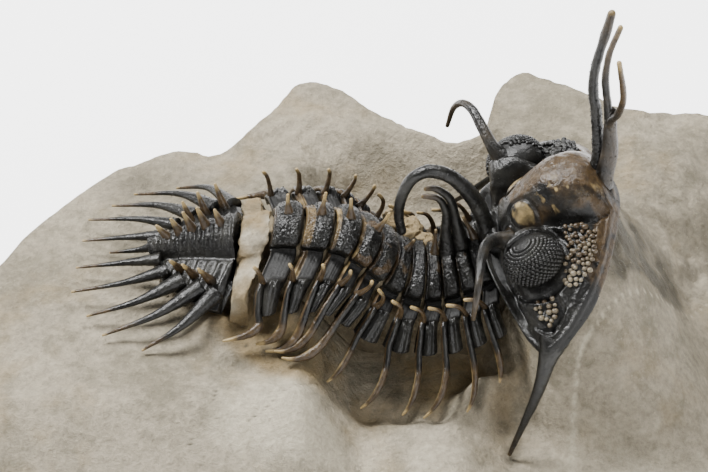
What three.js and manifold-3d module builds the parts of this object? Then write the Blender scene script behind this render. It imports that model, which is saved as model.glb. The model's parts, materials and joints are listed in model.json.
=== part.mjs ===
import * as THREE from 'three';
import { mergeVertices } from 'three/addons/utils/BufferGeometryUtils.js';
import Module from 'manifold-3d';

// A spiny trilobite in its block of limestone, about 58 mm from tail spines to head shield.
// The back arches along +X from the tail to the reared head, and Z = 0 is the sawn underside.
// Lengths are millimetres, angles are degrees.

// Driving dimensions of the armour
const SHELL = 1.0;
const CLEARANCE = 0.35;
const SEGMENT_FILL = 0.81;
const FULCRUM_OUT = 7.2;
const PLEURA_OUT = 9.6;
const FULCRAL_SPINE = 3.0;
const LENGTHWISE_RIDGE = 0.28;
const FOLD = 0.84;
const BAR_STATIONS = [0, 2, 3, 4, 5, 6, 7];

// The crest of the back, joint by joint: where it runs, how it pitches and which way it heads.
// Row 0 is the neck of the head shield, rows 1 to 11 the thorax, row 12 the stone collar behind it.
const CREST = [
  { at: [14.2, 0.0, 27.0], pitch: 32, yaw: 5 },
  { at: [12.9, -0.2, 26.0], pitch: 28, yaw: 6 },
  { at: [11.5, -0.3, 25.1], pitch: 22, yaw: 5 },
  { at: [10.0, -0.4, 24.4], pitch: 14, yaw: 4 },
  { at: [8.6, -0.5, 24.1], pitch: 4, yaw: 3 },
  { at: [7.1, -0.5, 24.1], pitch: -8, yaw: 1 },
  { at: [5.5, -0.5, 24.6], pitch: -28, yaw: 0 },
  { at: [4.1, -0.5, 26.0], pitch: -38, yaw: -1 },
  { at: [2.2, -0.5, 27.8], pitch: -30, yaw: -2 },
  { at: [-0.2, -0.4, 29.2], pitch: -14, yaw: -2 },
  { at: [-3.5, -0.4, 29.8], pitch: 0, yaw: -2 },
  { at: [-7.0, -0.3, 29.9], pitch: 12, yaw: -2 },
  { at: [-10.5, -0.2, 29.2], pitch: 15, yaw: -4 },
];
const COLLAR = 12;
const COLLAR_SPAN = [-0.9, 1.2];
const COLLAR_BOW = 7.6;

// Tips of the side spines of thorax joints 1 to 11: forward, outward and up from the crest
const SIDE_TIPS = [
  null,
  [-3.2, 12.2, -9.3],
  [-4.7, 13.9, -10.3],
  [-6.0, 14.2, -9.8],
  [-4.8, 13.9, -10.1],
  [-5.2, 13.9, -10.3],
  [-4.2, 13.2, -9.9],
  [-6.0, 13.1, -11.0],
  [-5.5, 12.3, -10.9],
  [-6.5, 12.1, -10.2],
  [-6.5, 11.6, -8.3],
  [-8.1, 11.5, -6.6],
];

// Spines that stand on the crest of the thorax: the way each leans, forward and up
const CREST_SPINES = [
  null,
  [[0.3, 0], [0.5, 2], [0.6, 3.6]],
  [[0.1, 0], [1.0, 3.8], [1.5, 7.0], [0.7, 9.0], [-0.3, 9.5]],
  [[0.1, 0], [0.7, 3.2], [1.3, 5.6], [1.0, 7.8], [-0.5, 8.7]],
  [[0.1, 0], [0.3, 1.8], [0.5, 3.6]],
  null,
  [[0, 0], [0.1, 1], [0.1, 1.9]],
  null,
  [[0.1, 0], [0.3, 1.4], [0.2, 2.9]],
  [[0, 0], [-0.5, 1.5], [-0.8, 2.8]],
  [[0, 0], [0.2, 1.6], [0.5, 3.2]],
  [[0, 0], [0.2, 1.4], [0.5, 2.7]],
];
const CREST_SPINE_SINK = 0.6;
const CREST_TAPER = [0.5, 0.2, 5, 3];
const HOOK_TAPER = [0.55, 0.22, 5, 5];

// Head shield, measured from the neck: forward, outward and up
const HEAD_OUTLINE = [
  [-0.4, 0.0], [-0.4, 4.0], [0.0, 8.0], [0.4, 11.0], [1.0, 13.7], [2.6, 15.8],
  [5.2, 15.2], [7.8, 13.5], [9.9, 11.4], [12.1, 8.2], [13.7, 4.2], [14.5, 0.0],
];
const HEAD_FLOOR = -0.6;
const BORDER_THICKNESS = 1.6;
const GREATEST_RIM = 4.4;
const HEAD_CENTRE = 6.8;
const HEAD_SHELL = 1.9;
const BORDER_FURROW = 0.9;
const HEAD_RINGS = [1.0, BORDER_FURROW, 0.74, 0.5, 0.2];
const HEAD_SIDES = 27;
const EYE = { at: [5.1, 7.9, 0.3], radii: [3.2, 2.8, 2.6] };
const GENAL_ROOT = [[3.6, 14.6, -5.2], [1.8, 15.9, -6.4]];
const GENAL_SPINES = {
  near: [...GENAL_ROOT, [-1.3, 16.9, -9.2], [-7.8, 17.7, -14.4]],
  far: [...GENAL_ROOT, [-1.8, 17.6, -8.2], [-7.8, 18.8, -9.6]],
};
const HORNS = {
  near: [
    [4.0, 7.2, 2.0], [2.6, 8.1, 3.5], [1.8, 10.2, 4.9], [1.3, 12.4, 5.5], [0.5, 14.3, 5.1], [-0.6, 15.2, 4.2],
    [-1.8, 15.2, 2.8],
  ],
  far: [
    [4.4, 7.2, 2.0], [4.1, 8.1, 3.5], [3.9, 10.2, 5.0], [3.6, 12.2, 6.0], [2.6, 14.0, 6.2], [1.0, 15.2, 5.2],
    [-0.9, 15.4, 3.3],
  ],
};
const GLABELLA_FLOOR = -1.1;
const GLABELLA_FRONT_FLOOR = -2.5;
const GLABELLA = [
  [-0.5, 2.9, 0.1], [0.1, 3.3, 0.8], [1.2, 3.4, 0.8], [1.8, 3.2, 0.3], [2.6, 3.4, 1.4], [4.6, 3.8, 2.7],
  [7.2, 4.0, 3.6], [9.8, 4.5, 4.0], [12.0, 4.8, 3.3], [13.4, 4.1, 2.2], [14.2, 2.8, 0.8],
];
const NECK_SPINE = [
  [0.4, 0, -0.8], [0.6, 0, 0.8], [1.3, 0, 3.6], [1.5, 0, 6.5], [1.0, 0, 9.3], [-0.4, 0, 11.1],
  [-2.3, 0, 11.3], [-4.3, 0, 10.1], [-6.2, 0, 7.9], [-7.2, 0, 5.6],
];

// Three-pronged fork on the front of the head
const FORK_STEM = [
  [13.2, -0.2, -1.4], [14.6, -0.3, -0.3], [16.6, -0.1, 1.9], [18.2, -0.1, 4.6], [19.6, -0.2, 6.9],
];
const FORK_MIDDLE = [[18.4, 0, 5.2], [19.8, 0, 8.0], [21.2, 0.1, 10.9], [23.2, 0, 13.7], [25.9, 0, 16.1]];
const FORK_FAR = [
  [13.9, 0.4, 0.2], [15.4, 1.0, 1.9], [17.5, 2.0, 5.8], [18.6, 2.4, 8.3], [20.6, 2.7, 11.1],
  [25.1, 3.5, 15.5],
];
const FORK_NEAR = [[19.0, -0.4, 6.0], [20.6, -1.5, 7.4], [22.4, -2.4, 9.9], [24.4, -3.2, 14.6]];

// Radii of the long spines at the root and at the tip, with their facets around and steps along
const NECK_TAPER = [1.15, 0.5, 6, 8];
const HORN_TAPER = [0.85, 0.22, 5, 6];
const GENAL_TAPER = [1.4, 0.22, 6, 5];
const STEM_TAPER = [1.7, 0.75, 7, 3];
const MIDDLE_TINE_TAPER = [0.75, 0.3, 6, 4];
const FAR_TINE_TAPER = [0.8, 0.3, 6, 6];
const NEAR_TINE_TAPER = [0.55, 0.25, 5, 4];
const FULCRAL_TAPER = [0.42, 0.16, 4, 2];
const TAIL_BROAD_TAPER = [0.85, 0.15, 5, 3];
const TAIL_REAR_TAPER = [0.7, 0.15, 5, 3];
const TAIL_END_TAPER = [0.65, 0.15, 5, 3];
const TAIL_CREST_TAPER = [0.36, 0.14, 4, 1];
const TAIL_SIDE_TAPER = [0.32, 0.14, 4, 1];

// Tail shield, measured from the middle of its front edge
const TAIL = { at: [-12.75, 0.0, 28.4], pitch: 17.6, yaw: -6 };
const TAIL_LENGTH = 10.6;
const TAIL_HALF_WIDTH = 8.6;
const TAIL_DROP = 4.6;
const TAIL_SHELL = 0.9;
const TAIL_SWEEP = 0.034;
const TAIL_SPINES = [
  { root: [-2.4, 7.1, -3.3], tip: [-10.3, 13.2, -4.4] },
  { root: [-4.0, 6.4, -2.7], tip: [-14.6, 11.5, -2.9] },
  { root: [-6.2, 5.2, -2.3], tip: [-16.5, 9.0, -2.0] },
  { root: [-8.0, 3.7, -1.9], tip: [-18.4, 5.9, -0.9] },
  { root: [-9.0, 1.9, -1.7], tip: [-18.4, 2.2, -0.7] },
];
const TAIL_END_SPINE = [[-8.8, 0, -1.1], [-11.5, 0, -1.5], [-15.0, 0, -1.2]];
const TAIL_CREST_SPINES = [
  [[-1.6, -0.5], [-1.7, 2.2]], [[-3.3, -0.6], [-3.5, 2.9]], [[-4.9, -0.8], [-5.2, 2.6]],
  [[-6.4, -0.9], [-6.8, 2.0]], [[-7.8, -1.1], [-8.7, 1.4]],
];
const TAIL_SIDE_SPINES = [
  [[-2.9, 5.7, -3.0], [-3.3, 6.9, 0.2]],
  [[-4.8, 4.7, -2.9], [-5.2, 5.9, 0.3]],
  [[-6.3, 3.7, -2.7], [-6.8, 4.8, 0.2]],
];

// Block of stone: plan of its edge and the run of its top
const BLOCK_EDGE = [
  [-39.1, 2.6], [-35.8, 8.2], [-28.2, 17.0], [-24.2, 19.8], [-20.2, 22.0], [-15.6, 21.6], [-12.2, 25.6],
  [-8.8, 31.0], [-6.2, 34.8], [-2.8, 34.8], [2.4, 29.6], [8.7, 25.4], [13.6, 25.0], [15.8, 27.4],
  [16.6, 32.6], [19.4, 36.6], [24.4, 33.6], [32.2, 29.6], [40.8, 29.6], [47, 25], [51, 16], [53, 6],
  [53, -10], [49, -25], [41, -35],
  [26, -40], [8, -42], [-12, -41], [-30, -39], [-43, -32], [-48, -20], [-44.5, -6],
];
const BLOCK_CORE = { from: -20, to: 22, squeeze: 0.55, y: -3 };
const BLOCK_SIDES = 48;
const BLOCK_RINGS = [0.985, 0.88, 0.74, 0.6, 0.46, 0.32, 0.16];
const RIDGE_FOOT = 6;
const MOUND_CENTRE = [19, 0.5];
const MOUND_SPREAD = [0.9, 0.42];
const MOUND_SAG = 0.25;
const TAIL_GROUND = 20.4;
const SIDE_GROUND = 12.8;
const HEAD_GROUND = 9.5;
const FAR_GROUND = 19.6;

const wasm = await Module();
wasm.setup();

const radians = THREE.MathUtils.degToRad;
const mix = THREE.MathUtils.lerp;
const smooth = THREE.MathUtils.smoothstep;

// Directions of a joint: fore along the back, left across it and up out of it
function jointFrame({ at, pitch, yaw }) {
  const p = radians(pitch);
  const y = radians(yaw);
  const fore = new THREE.Vector3(Math.cos(p) * Math.cos(y), Math.cos(p) * Math.sin(y), Math.sin(p));
  const left = new THREE.Vector3(-Math.sin(y), Math.cos(y), 0);
  return { origin: new THREE.Vector3(...at), fore, left, up: fore.clone().cross(left) };
}

function inFrame(frame, [forward, outward, upward]) {
  return frame.origin.clone()
    .addScaledVector(frame.fore, forward)
    .addScaledVector(frame.left, outward)
    .addScaledVector(frame.up, upward);
}

// Turns a closed geometry into a solid whose faces point out
function solid(geometry) {
  geometry.deleteAttribute('normal');
  geometry.deleteAttribute('uv');
  const merged = mergeVertices(geometry, 1e-4);
  const vertices = Float32Array.from(merged.attributes.position.array);
  const corners = Uint32Array.from(merged.index.array);
  const a = new THREE.Vector3();
  const b = new THREE.Vector3();
  const c = new THREE.Vector3();
  let volume = 0;
  for (let i = 0; i < corners.length; i += 3) {
    a.fromArray(vertices, 3 * corners[i]);
    b.fromArray(vertices, 3 * corners[i + 1]);
    c.fromArray(vertices, 3 * corners[i + 2]);
    volume += a.dot(b.cross(c));
  }
  if (volume < 0) corners.reverse();
  return new wasm.Manifold(new wasm.Mesh({ numProp: 3, vertProperties: vertices, triVerts: corners }));
}

function middleOf(points) {
  return points.reduce((total, point) => total.add(point), new THREE.Vector3()).divideScalar(points.length);
}

// A closed skin over rings of points: a capped cylinder whose vertices move onto the rings
function loft(rings) {
  const sides = rings[0].length;
  const shape = new THREE.CylinderGeometry(1, 1, 1, sides, rings.length - 1);
  const position = shape.attributes.position;
  const centres = rings.map(middleOf);
  for (let i = 0; i < position.count; i += 1) {
    const x = position.getX(i);
    const z = position.getZ(i);
    const level = Math.round((0.5 - position.getY(i)) * (rings.length - 1));
    const side = Math.round((Math.atan2(x, z) / (2 * Math.PI)) * sides + sides) % sides;
    const point = Math.hypot(x, z) < 0.5 ? centres[level] : rings[level][side];
    position.setXYZ(i, point.x, point.y, point.z);
  }
  return solid(shape);
}

// A spine that tapers along a smooth curve through its points
function spine(points, rootRadius, tipRadius, sides = 5, steps = 4) {
  const curve = new THREE.CatmullRomCurve3(points);
  const { normals, binormals } = curve.computeFrenetFrames(steps);
  const rings = [];
  for (let i = 0; i <= steps; i += 1) {
    const radius = mix(rootRadius, tipRadius, i / steps);
    const centre = curve.getPointAt(i / steps);
    const ring = [];
    for (let j = 0; j < sides; j += 1) {
      const angle = (2 * Math.PI * j) / sides;
      ring.push(centre.clone()
        .addScaledVector(normals[i], radius * Math.cos(angle))
        .addScaledVector(binormals[i], radius * Math.sin(angle)));
    }
    rings.push(ring);
  }
  return loft(rings);
}

function joined(solids) {
  return solids.reduce((whole, piece) => whole.add(piece));
}

function named(name, shape, material) {
  const mesh = shape.getMesh();
  const geometry = new THREE.BufferGeometry();
  geometry.setAttribute('position', new THREE.BufferAttribute(Float32Array.from(mesh.vertProperties), 3));
  geometry.setIndex(new THREE.BufferAttribute(Uint32Array.from(mesh.triVerts), 1));
  geometry.computeVertexNormals();
  const piece = new THREE.Mesh(geometry, material);
  piece.name = name;
  return piece;
}

// The arch of a joint from crest to side edge, as forward, outward and up.
// The last stations belong to the side spine.
function archStations(joint) {
  const front = (11 - joint) / 10;
  const growth = Math.min(1, 1.6 * front);
  const ringOut = 3.2 + 1.3 * growth;
  const ringDrop = 1.9 + 0.9 * growth;
  const furrow = [-0.9 + 0.7 * front, ringOut, -ringDrop];
  const fulcrum = [-2.2 + 1.6 * front, FULCRUM_OUT, -2.9 - 0.3 * front];
  const edge = [-3.2 + 2.2 * front, PLEURA_OUT, -5.2 - 0.4 * front];
  const halfway = (a, b, share, lift) => [
    mix(a[0], b[0], share), mix(a[1], b[1], share), mix(a[2], b[2], share) + lift,
  ];
  return [
    [0, 0, 0],
    [0.15 * furrow[0], 0.5 * ringOut, -0.16 * ringDrop],
    [0.5 * furrow[0], 0.84 * ringOut, -0.55 * ringDrop],
    furrow,
    halfway(furrow, fulcrum, 0.12, -0.45),
    fulcrum,
    halfway(fulcrum, edge, 0.5, 0.35),
    edge,
  ];
}

// A point of the arch on one side of a joint, sunk below the surface by a depth
function archPoint(joint, station, side, depth = 0) {
  const [forward, outward, upward] = archStations(joint)[station];
  const lean = Math.atan2(outward, 9) * (station > 5 ? 1.3 : 0.6);
  return inFrame(jointFrame(CREST[joint]), [
    forward,
    side * (outward - depth * Math.sin(lean)),
    upward - depth * Math.cos(lean),
  ]);
}

// The bar across one station of a joint, reaching towards both neighbours
function barRing(joint, station, side) {
  const centre = archPoint(joint, station, side);
  const toHead = archPoint(joint - 1, station, side).sub(centre).multiplyScalar(0.5 * SEGMENT_FILL);
  const toTail = archPoint(joint + 1, station, side).sub(centre).multiplyScalar(0.5 * SEGMENT_FILL);
  const inward = archPoint(joint, station, side, SHELL).sub(centre);
  const outside = (reach, share, lift) => centre.clone()
    .addScaledVector(reach, share)
    .addScaledVector(inward, -lift);
  return [
    outside(toTail, FOLD, -1),
    outside(toTail, 1, -0.15),
    outside(toTail, 0.58, LENGTHWISE_RIDGE),
    outside(toHead, 0.05, -0.06),
    outside(toHead, 0.66, LENGTHWISE_RIDGE),
    outside(toHead, FOLD, -1),
  ];
}

// The side spine leaves the rear corner of the edge and sweeps back to its tip, thinner step by step
const SIDE_SPINE_RADII = [[0, 0.66], [0.35, 0.52], [0.7, 0.38], [1, 0.14]];
function sideSpineRings(joint, side) {
  const frame = jointFrame(CREST[joint]);
  const edge = archStations(joint)[7];
  const tip = SIDE_TIPS[joint];
  const rear = archPoint(joint + 1, 7, side).distanceTo(archPoint(joint, 7, side));
  const back = Math.min(0.3 * rear, 0.9);
  const path = new THREE.QuadraticBezierCurve3(
    new THREE.Vector3(edge[0] - back, edge[1] + 0.35, edge[2] - 0.5),
    new THREE.Vector3(
      mix(edge[0], tip[0], 0.25) - back,
      mix(edge[1], tip[1], 0.9),
      mix(edge[2], tip[2], 0.55),
    ),
    new THREE.Vector3(...tip),
  );
  const last = barRing(joint, 7, side);
  const middle = middleOf(last);
  const reach = last[2].distanceTo(last[4]);
  return SIDE_SPINE_RADII.map(([along, radius]) => {
    const spot = path.getPoint(along);
    const centre = inFrame(frame, [spot.x, side * spot.y, spot.z]);
    return last.map((point) => {
      const arm = point.clone().sub(middle).divideScalar(reach);
      const bulk = Math.max(arm.length(), 0.1);
      return centre.clone().addScaledVector(arm, radius / bulk);
    });
  });
}

function crestSpine(joint) {
  const path = CREST_SPINES[joint];
  if (!path) return [];
  const frame = jointFrame(CREST[joint]);
  const points = path.map(([forward, upward]) => inFrame(frame, [forward, 0, upward || -CREST_SPINE_SINK]));
  return [spine(points, ...(path.length > 3 ? HOOK_TAPER : CREST_TAPER))];
}

function fulcralSpine(joint, side) {
  const frame = jointFrame(CREST[joint]);
  const [forward, outward, upward] = archStations(joint)[5];
  const lean = joint > 6 ? 0.0 : -0.9;
  return spine([
    inFrame(frame, [forward, side * (outward + 0.1), upward - 0.5]),
    inFrame(frame, [forward + 0.1, side * (outward + 0.5), upward + 0.45 * FULCRAL_SPINE]),
    inFrame(frame, [forward + lean, side * (outward + 0.6), upward + FULCRAL_SPINE]),
  ], ...FULCRAL_TAPER);
}

function thoracicSegment(joint) {
  const near = BAR_STATIONS.map((station) => barRing(joint, station, -1));
  const far = BAR_STATIONS.slice(1).map((station) => barRing(joint, station, 1));
  const arch = loft([
    ...sideSpineRings(joint, -1).reverse(),
    ...near.reverse(),
    ...far,
    ...sideSpineRings(joint, 1),
  ]);
  return joined([arch, ...crestSpine(joint), fulcralSpine(joint, -1), fulcralSpine(joint, 1)]);
}

// Height of the cheeks above the neck
function cheekHeight(forward, outward) {
  const slopes = 0.8 - 0.024 * outward ** 2 - 0.03 * Math.max(0, forward - 6) ** 2;
  return slopes - 1.5 * (1 - smooth(forward, 0, 3.2));
}

// Height of the lower rim of the head shield
function rimHeight(forward, outward) {
  const side = Math.abs(outward);
  const rear = mix(-0.9, -6.1, smooth(side, 5, 15));
  const front = -4.0 - 1.6 * smooth(side, 6, 15);
  return mix(rear, front, smooth(forward, 3, 8));
}

function headOutline() {
  const half = HEAD_OUTLINE.map(([forward, outward]) => new THREE.Vector3(forward, outward, 0));
  const other = half.slice(1, -1).reverse().map((point) => new THREE.Vector3(point.x, -point.y, 0));
  const curve = new THREE.CatmullRomCurve3([...half, ...other], true);
  return curve.getSpacedPoints(HEAD_SIDES).slice(0, HEAD_SIDES);
}

function headRing(frame, outline, share, height) {
  return outline.map((point) => {
    const forward = mix(HEAD_CENTRE, point.x, share);
    const outward = mix(0, point.y, share);
    return inFrame(frame, [forward, outward, height(forward, outward)]);
  });
}

function headShield(frame) {
  const outline = headOutline();
  const rim = (f, w) => Math.max(rimHeight(f, w), cheekHeight(f, w) - GREATEST_RIM);
  const underside = (f, w) => cheekHeight(f, w) - HEAD_SHELL;
  const rings = [
    headRing(frame, outline, 0.3, underside),
    headRing(frame, outline, 0.82, (f, w) => Math.min(underside(f, w), HEAD_FLOOR)),
    headRing(frame, outline, 0.95, (f, w) => rim(f, w) - 0.1),
    headRing(frame, outline, 1.0, (f, w) => rim(f, w) + 0.7),
  ];
  const top = HEAD_RINGS.map((share) => headRing(frame, outline, share, (f, w) => {
    if (share === 1) return mix(rim(f, w) + BORDER_THICKNESS, cheekHeight(f, w), 0.35);
    return cheekHeight(f, w) - (share === BORDER_FURROW ? 0.35 : 0);
  }));
  return loft([...rings, ...top]);
}

// The swollen middle of the head, from the neck ring to the broad front lobe
function glabella(frame) {
  const arcPoints = 10;
  const fullness = 0.8;
  return loft(GLABELLA.map(([forward, halfWidth, top]) => {
    const floor = mix(GLABELLA_FLOOR, GLABELLA_FRONT_FLOOR, smooth(forward, 10, 13.5));
    const ring = [];
    for (let i = 0; i < arcPoints; i += 1) {
      const angle = (Math.PI * i) / (arcPoints - 1);
      const width = halfWidth * Math.sign(Math.cos(angle)) * Math.abs(Math.cos(angle)) ** fullness;
      ring.push(inFrame(frame, [forward, width, floor + (top - floor) * Math.sin(angle) ** fullness]));
    }
    return ring;
  }));
}

function eye(frame, side) {
  const ball = new THREE.SphereGeometry(1, 10, 7);
  const { at, radii } = EYE;
  const basis = new THREE.Matrix4().makeBasis(
    frame.fore.clone().multiplyScalar(radii[0]),
    frame.left.clone().multiplyScalar(radii[1]),
    frame.up.clone().multiplyScalar(radii[2]),
  );
  basis.setPosition(inFrame(frame, [at[0], side * at[1], at[2]]));
  ball.rotateX(Math.PI / 2);
  ball.applyMatrix4(basis);
  return solid(ball);
}

function cephalon() {
  const frame = jointFrame(CREST[0]);
  const route = (path, side = 1) => path.map(([f, w, u]) => inFrame(frame, [f, side * w, u]));
  const pieces = [headShield(frame), glabella(frame)];
  [-1, 1].forEach((side) => {
    pieces.push(eye(frame, side));
    const name = side < 0 ? 'near' : 'far';
    pieces.push(spine(route(HORNS[name], side), ...HORN_TAPER));
    pieces.push(spine(route(GENAL_SPINES[name], side), ...GENAL_TAPER));
  });
  pieces.push(spine(route(NECK_SPINE), ...NECK_TAPER));
  pieces.push(spine(route(FORK_STEM), ...STEM_TAPER));
  pieces.push(spine(route(FORK_MIDDLE), ...MIDDLE_TINE_TAPER));
  pieces.push(spine(route(FORK_FAR), ...FAR_TINE_TAPER));
  pieces.push(spine(route(FORK_NEAR), ...NEAR_TINE_TAPER));
  return joined(pieces);
}

// Half width and height of the tail shield, from 0 at its front edge to 1 at its rear
function tailProfile(back) {
  return {
    half: TAIL_HALF_WIDTH * Math.sqrt(Math.max(0.03, 1 - back ** 1.7)),
    drop: mix(TAIL_DROP, 1.5, back),
    axis: mix(3.2, 1.3, back),
    axisDrop: mix(1.9, 1.0, back),
    crest: -0.9 * back ** 2,
  };
}

function tailRing(frame, back, depth) {
  const { half, drop, axis, axisDrop, crest } = tailProfile(back);
  const forward = -TAIL_LENGTH * back;
  const section = [
    [-half, crest - drop], [-0.68 * half - 0.2, crest - 0.62 * drop - 0.1], [-axis, crest - axisDrop],
    [-0.6 * axis, crest - 0.3 * axisDrop], [0, crest], [0.6 * axis, crest - 0.3 * axisDrop],
    [axis, crest - axisDrop], [0.68 * half + 0.2, crest - 0.62 * drop - 0.1], [half, crest - drop],
  ];
  const under = [
    [half - 0.3, crest - drop - depth], [0.62 * half, crest - 0.66 * drop - depth - 0.3],
    [-0.62 * half, crest - 0.66 * drop - depth - 0.3], [-half + 0.3, crest - drop - depth],
  ];
  const cut = forward + 0.25 * back;
  return [...section, ...under].map(([outward, upward]) => (
    inFrame(frame, [cut - TAIL_SWEEP * outward ** 2 * (1 - back), outward, upward])
  ));
}

function pygidium() {
  const frame = jointFrame(TAIL);
  const place = (points, side = 1) => points.map(([f, w, u]) => inFrame(frame, [f, side * w, u]));
  const backs = [0, 0.16, 0.34, 0.52, 0.7, 0.86, 1];
  const pieces = [loft(backs.map((back) => tailRing(frame, back, TAIL_SHELL)))];
  [-1, 1].forEach((side) => {
    TAIL_SPINES.forEach(({ root, tip }, index) => {
      const bow = [mix(root[0], tip[0], 0.45), mix(root[1], tip[1], 0.68), mix(root[2], tip[2], 0.4) + 0.1];
      const taper = index < 3 ? TAIL_BROAD_TAPER : TAIL_REAR_TAPER;
      pieces.push(spine(place([root, bow, tip], side), ...taper));
    });
    TAIL_SIDE_SPINES.forEach((path) => pieces.push(spine(place(path, side), ...TAIL_SIDE_TAPER)));
  });
  pieces.push(spine(place(TAIL_END_SPINE), ...TAIL_END_TAPER));
  TAIL_CREST_SPINES.forEach((path) => {
    const points = path.map(([forward, upward]) => [forward, 0, upward]);
    pieces.push(spine(place(points), ...TAIL_CREST_TAPER));
  });
  return joined(pieces);
}

// Height of the open ground of the block
function groundHeight(x, y) {
  const behind = mix(TAIL_GROUND, SIDE_GROUND + 1, smooth(-y, 17, 38));
  const besideBody = mix(behind, SIDE_GROUND, smooth(x, -6.7, 1.3));
  const near = mix(besideBody, HEAD_GROUND, smooth(x, 10, 18));
  const trench = mix(near, besideBody, smooth(y, -4, 6));
  const bank = smooth(y, 16, 26);
  const bankRight = smooth(y - 1.3 * (x - 26), -10, 10);
  const ground = mix(trench, FAR_GROUND, mix(bank, bankRight, smooth(x, 20, 30)));
  const mound = 9 * Math.exp(-(((x - 25) / 8) ** 2) - ((y + 3) / 9) ** 2);
  const fallFront = 3.5 * smooth(-y, 18, 42);
  const fallRight = 2.0 * smooth(x, 30, 53);
  const fallLeft = 1.2 * smooth(-x, 30, 48);
  return ground + mound - fallFront - fallRight - fallLeft;
}

function block() {
  const edge = new THREE.CatmullRomCurve3(
    BLOCK_EDGE.map(([x, y]) => new THREE.Vector3(x, y, 0)), true, 'catmullrom', 0.4,
  ).getSpacedPoints(BLOCK_SIDES).slice(0, BLOCK_SIDES);
  const ring = (share, height) => edge.map(({ x, y }) => {
    const core = THREE.MathUtils.clamp(BLOCK_CORE.squeeze * x, BLOCK_CORE.from, BLOCK_CORE.to);
    const px = mix(core, x, share);
    const py = mix(BLOCK_CORE.y, y, share);
    return new THREE.Vector3(px, py, height(px, py));
  });
  return loft([
    ring(0.955, () => 0),
    ring(0.99, () => 2.2),
    ring(1.0, (x, y) => 0.55 * groundHeight(x, y)),
    ring(0.995, (x, y) => groundHeight(x, y) - 1.6),
    ...BLOCK_RINGS.map((share) => ring(share, groundHeight)),
  ]);
}

// Stone left under the arch of the body, level with the underside of the armour.
// Behind the thorax it rises to a bare collar that shows between the last joint and the tail.
function bodyRidge() {
  const slice = (joint, depth, shift = 0) => {
    const wall = (side) => {
      const top = archPoint(joint, 5, side, depth);
      const foot = new THREE.Vector3(top.x, top.y - side * 0.4, RIDGE_FOOT);
      return side < 0 ? [foot, top] : [top, foot];
    };
    const arch = [
      ...wall(-1),
      archPoint(joint, 4, -1, depth), archPoint(joint, 2, -1, depth + 0.15), archPoint(joint, 0, 1, depth),
      archPoint(joint, 2, 1, depth + 0.15), archPoint(joint, 4, 1, depth),
      ...wall(1),
    ];
    const bow = (point) => shift * (1 - (point.y / COLLAR_BOW) ** 2);
    return arch.map((point) => new THREE.Vector3(point.x + bow(point), point.y, point.z));
  };
  const under = SHELL + CLEARANCE;
  const [rear, front] = COLLAR_SPAN;
  const slices = [slice(COLLAR, 2.2, rear), slice(COLLAR, 0.3, rear + 0.05)];
  slices.push(slice(COLLAR, 0.3, front), slice(COLLAR, under + 0.2, front + 0.05));
  for (let joint = 11; joint >= 0; joint -= 1) slices.push(slice(joint, under + 0.15));
  return loft(slices);
}

// Stone under the tail shield
function tailPedestal() {
  const frame = jointFrame(TAIL);
  const slice = (back) => {
    const { half, drop, crest } = tailProfile(back);
    const upward = crest - 0.66 * drop - TAIL_SHELL - 0.8 - CLEARANCE;
    const near = inFrame(frame, [-TAIL_LENGTH * back, -0.58 * half, upward]);
    const far = inFrame(frame, [-TAIL_LENGTH * back, 0.58 * half, upward]);
    const foot = (point) => new THREE.Vector3(point.x, point.y, RIDGE_FOOT);
    return [foot(near), near, far, foot(far)];
  };
  return loft([slice(0.95), slice(0.7), slice(0.35), slice(0.14)]);
}

// Stone mound that carries the reared head
function headMound() {
  const frame = jointFrame(CREST[0]);
  const outline = headOutline();
  const under = (f, w) => Math.min(cheekHeight(f, w) - HEAD_SHELL, HEAD_FLOOR) - CLEARANCE - MOUND_SAG;
  const lid = (share) => headRing(frame, outline, share, under);
  const shoulder = lid(0.79);
  const slope = (drop) => shoulder.map((point, index) => {
    const lead = smooth(outline[index].x, 1.5, 6);
    const spreadX = 1 + MOUND_SPREAD[0] * lead * drop;
    const spreadY = 1 + MOUND_SPREAD[1] * lead * drop;
    const z = mix(point.z, RIDGE_FOOT, drop);
    const x = mix(MOUND_CENTRE[0], point.x, spreadX);
    return new THREE.Vector3(x, mix(MOUND_CENTRE[1], point.y, spreadY), z);
  });
  return loft([slope(1), slope(0.6), slope(0.25), shoulder, lid(0.3)]);
}

const SHELL_FINISH = { color: 0x26262a, roughness: 0.32, metalness: 0.0 };
const stoneMaterial = new THREE.MeshStandardMaterial({ color: 0x9c9282, roughness: 0.9, metalness: 0.0 });
const shellMaterial = () => new THREE.MeshStandardMaterial(SHELL_FINISH);

const specimen = new THREE.Group();
specimen.add(named('matrix', joined([block(), bodyRidge(), tailPedestal(), headMound()]), stoneMaterial));
specimen.add(named('cephalon', cephalon(), shellMaterial()));
for (let joint = 1; joint <= 11; joint += 1) {
  const label = String(joint).padStart(2, '0');
  specimen.add(named(`thoracic_segment_${label}`, thoracicSegment(joint), shellMaterial()));
}
specimen.add(named('pygidium', pygidium(), shellMaterial()));

export default specimen;
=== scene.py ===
import json
import math

import bpy
import numpy as np
from bpy.props import FloatProperty, FloatVectorProperty, IntProperty, PointerProperty
from mathutils import Matrix, Vector

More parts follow.
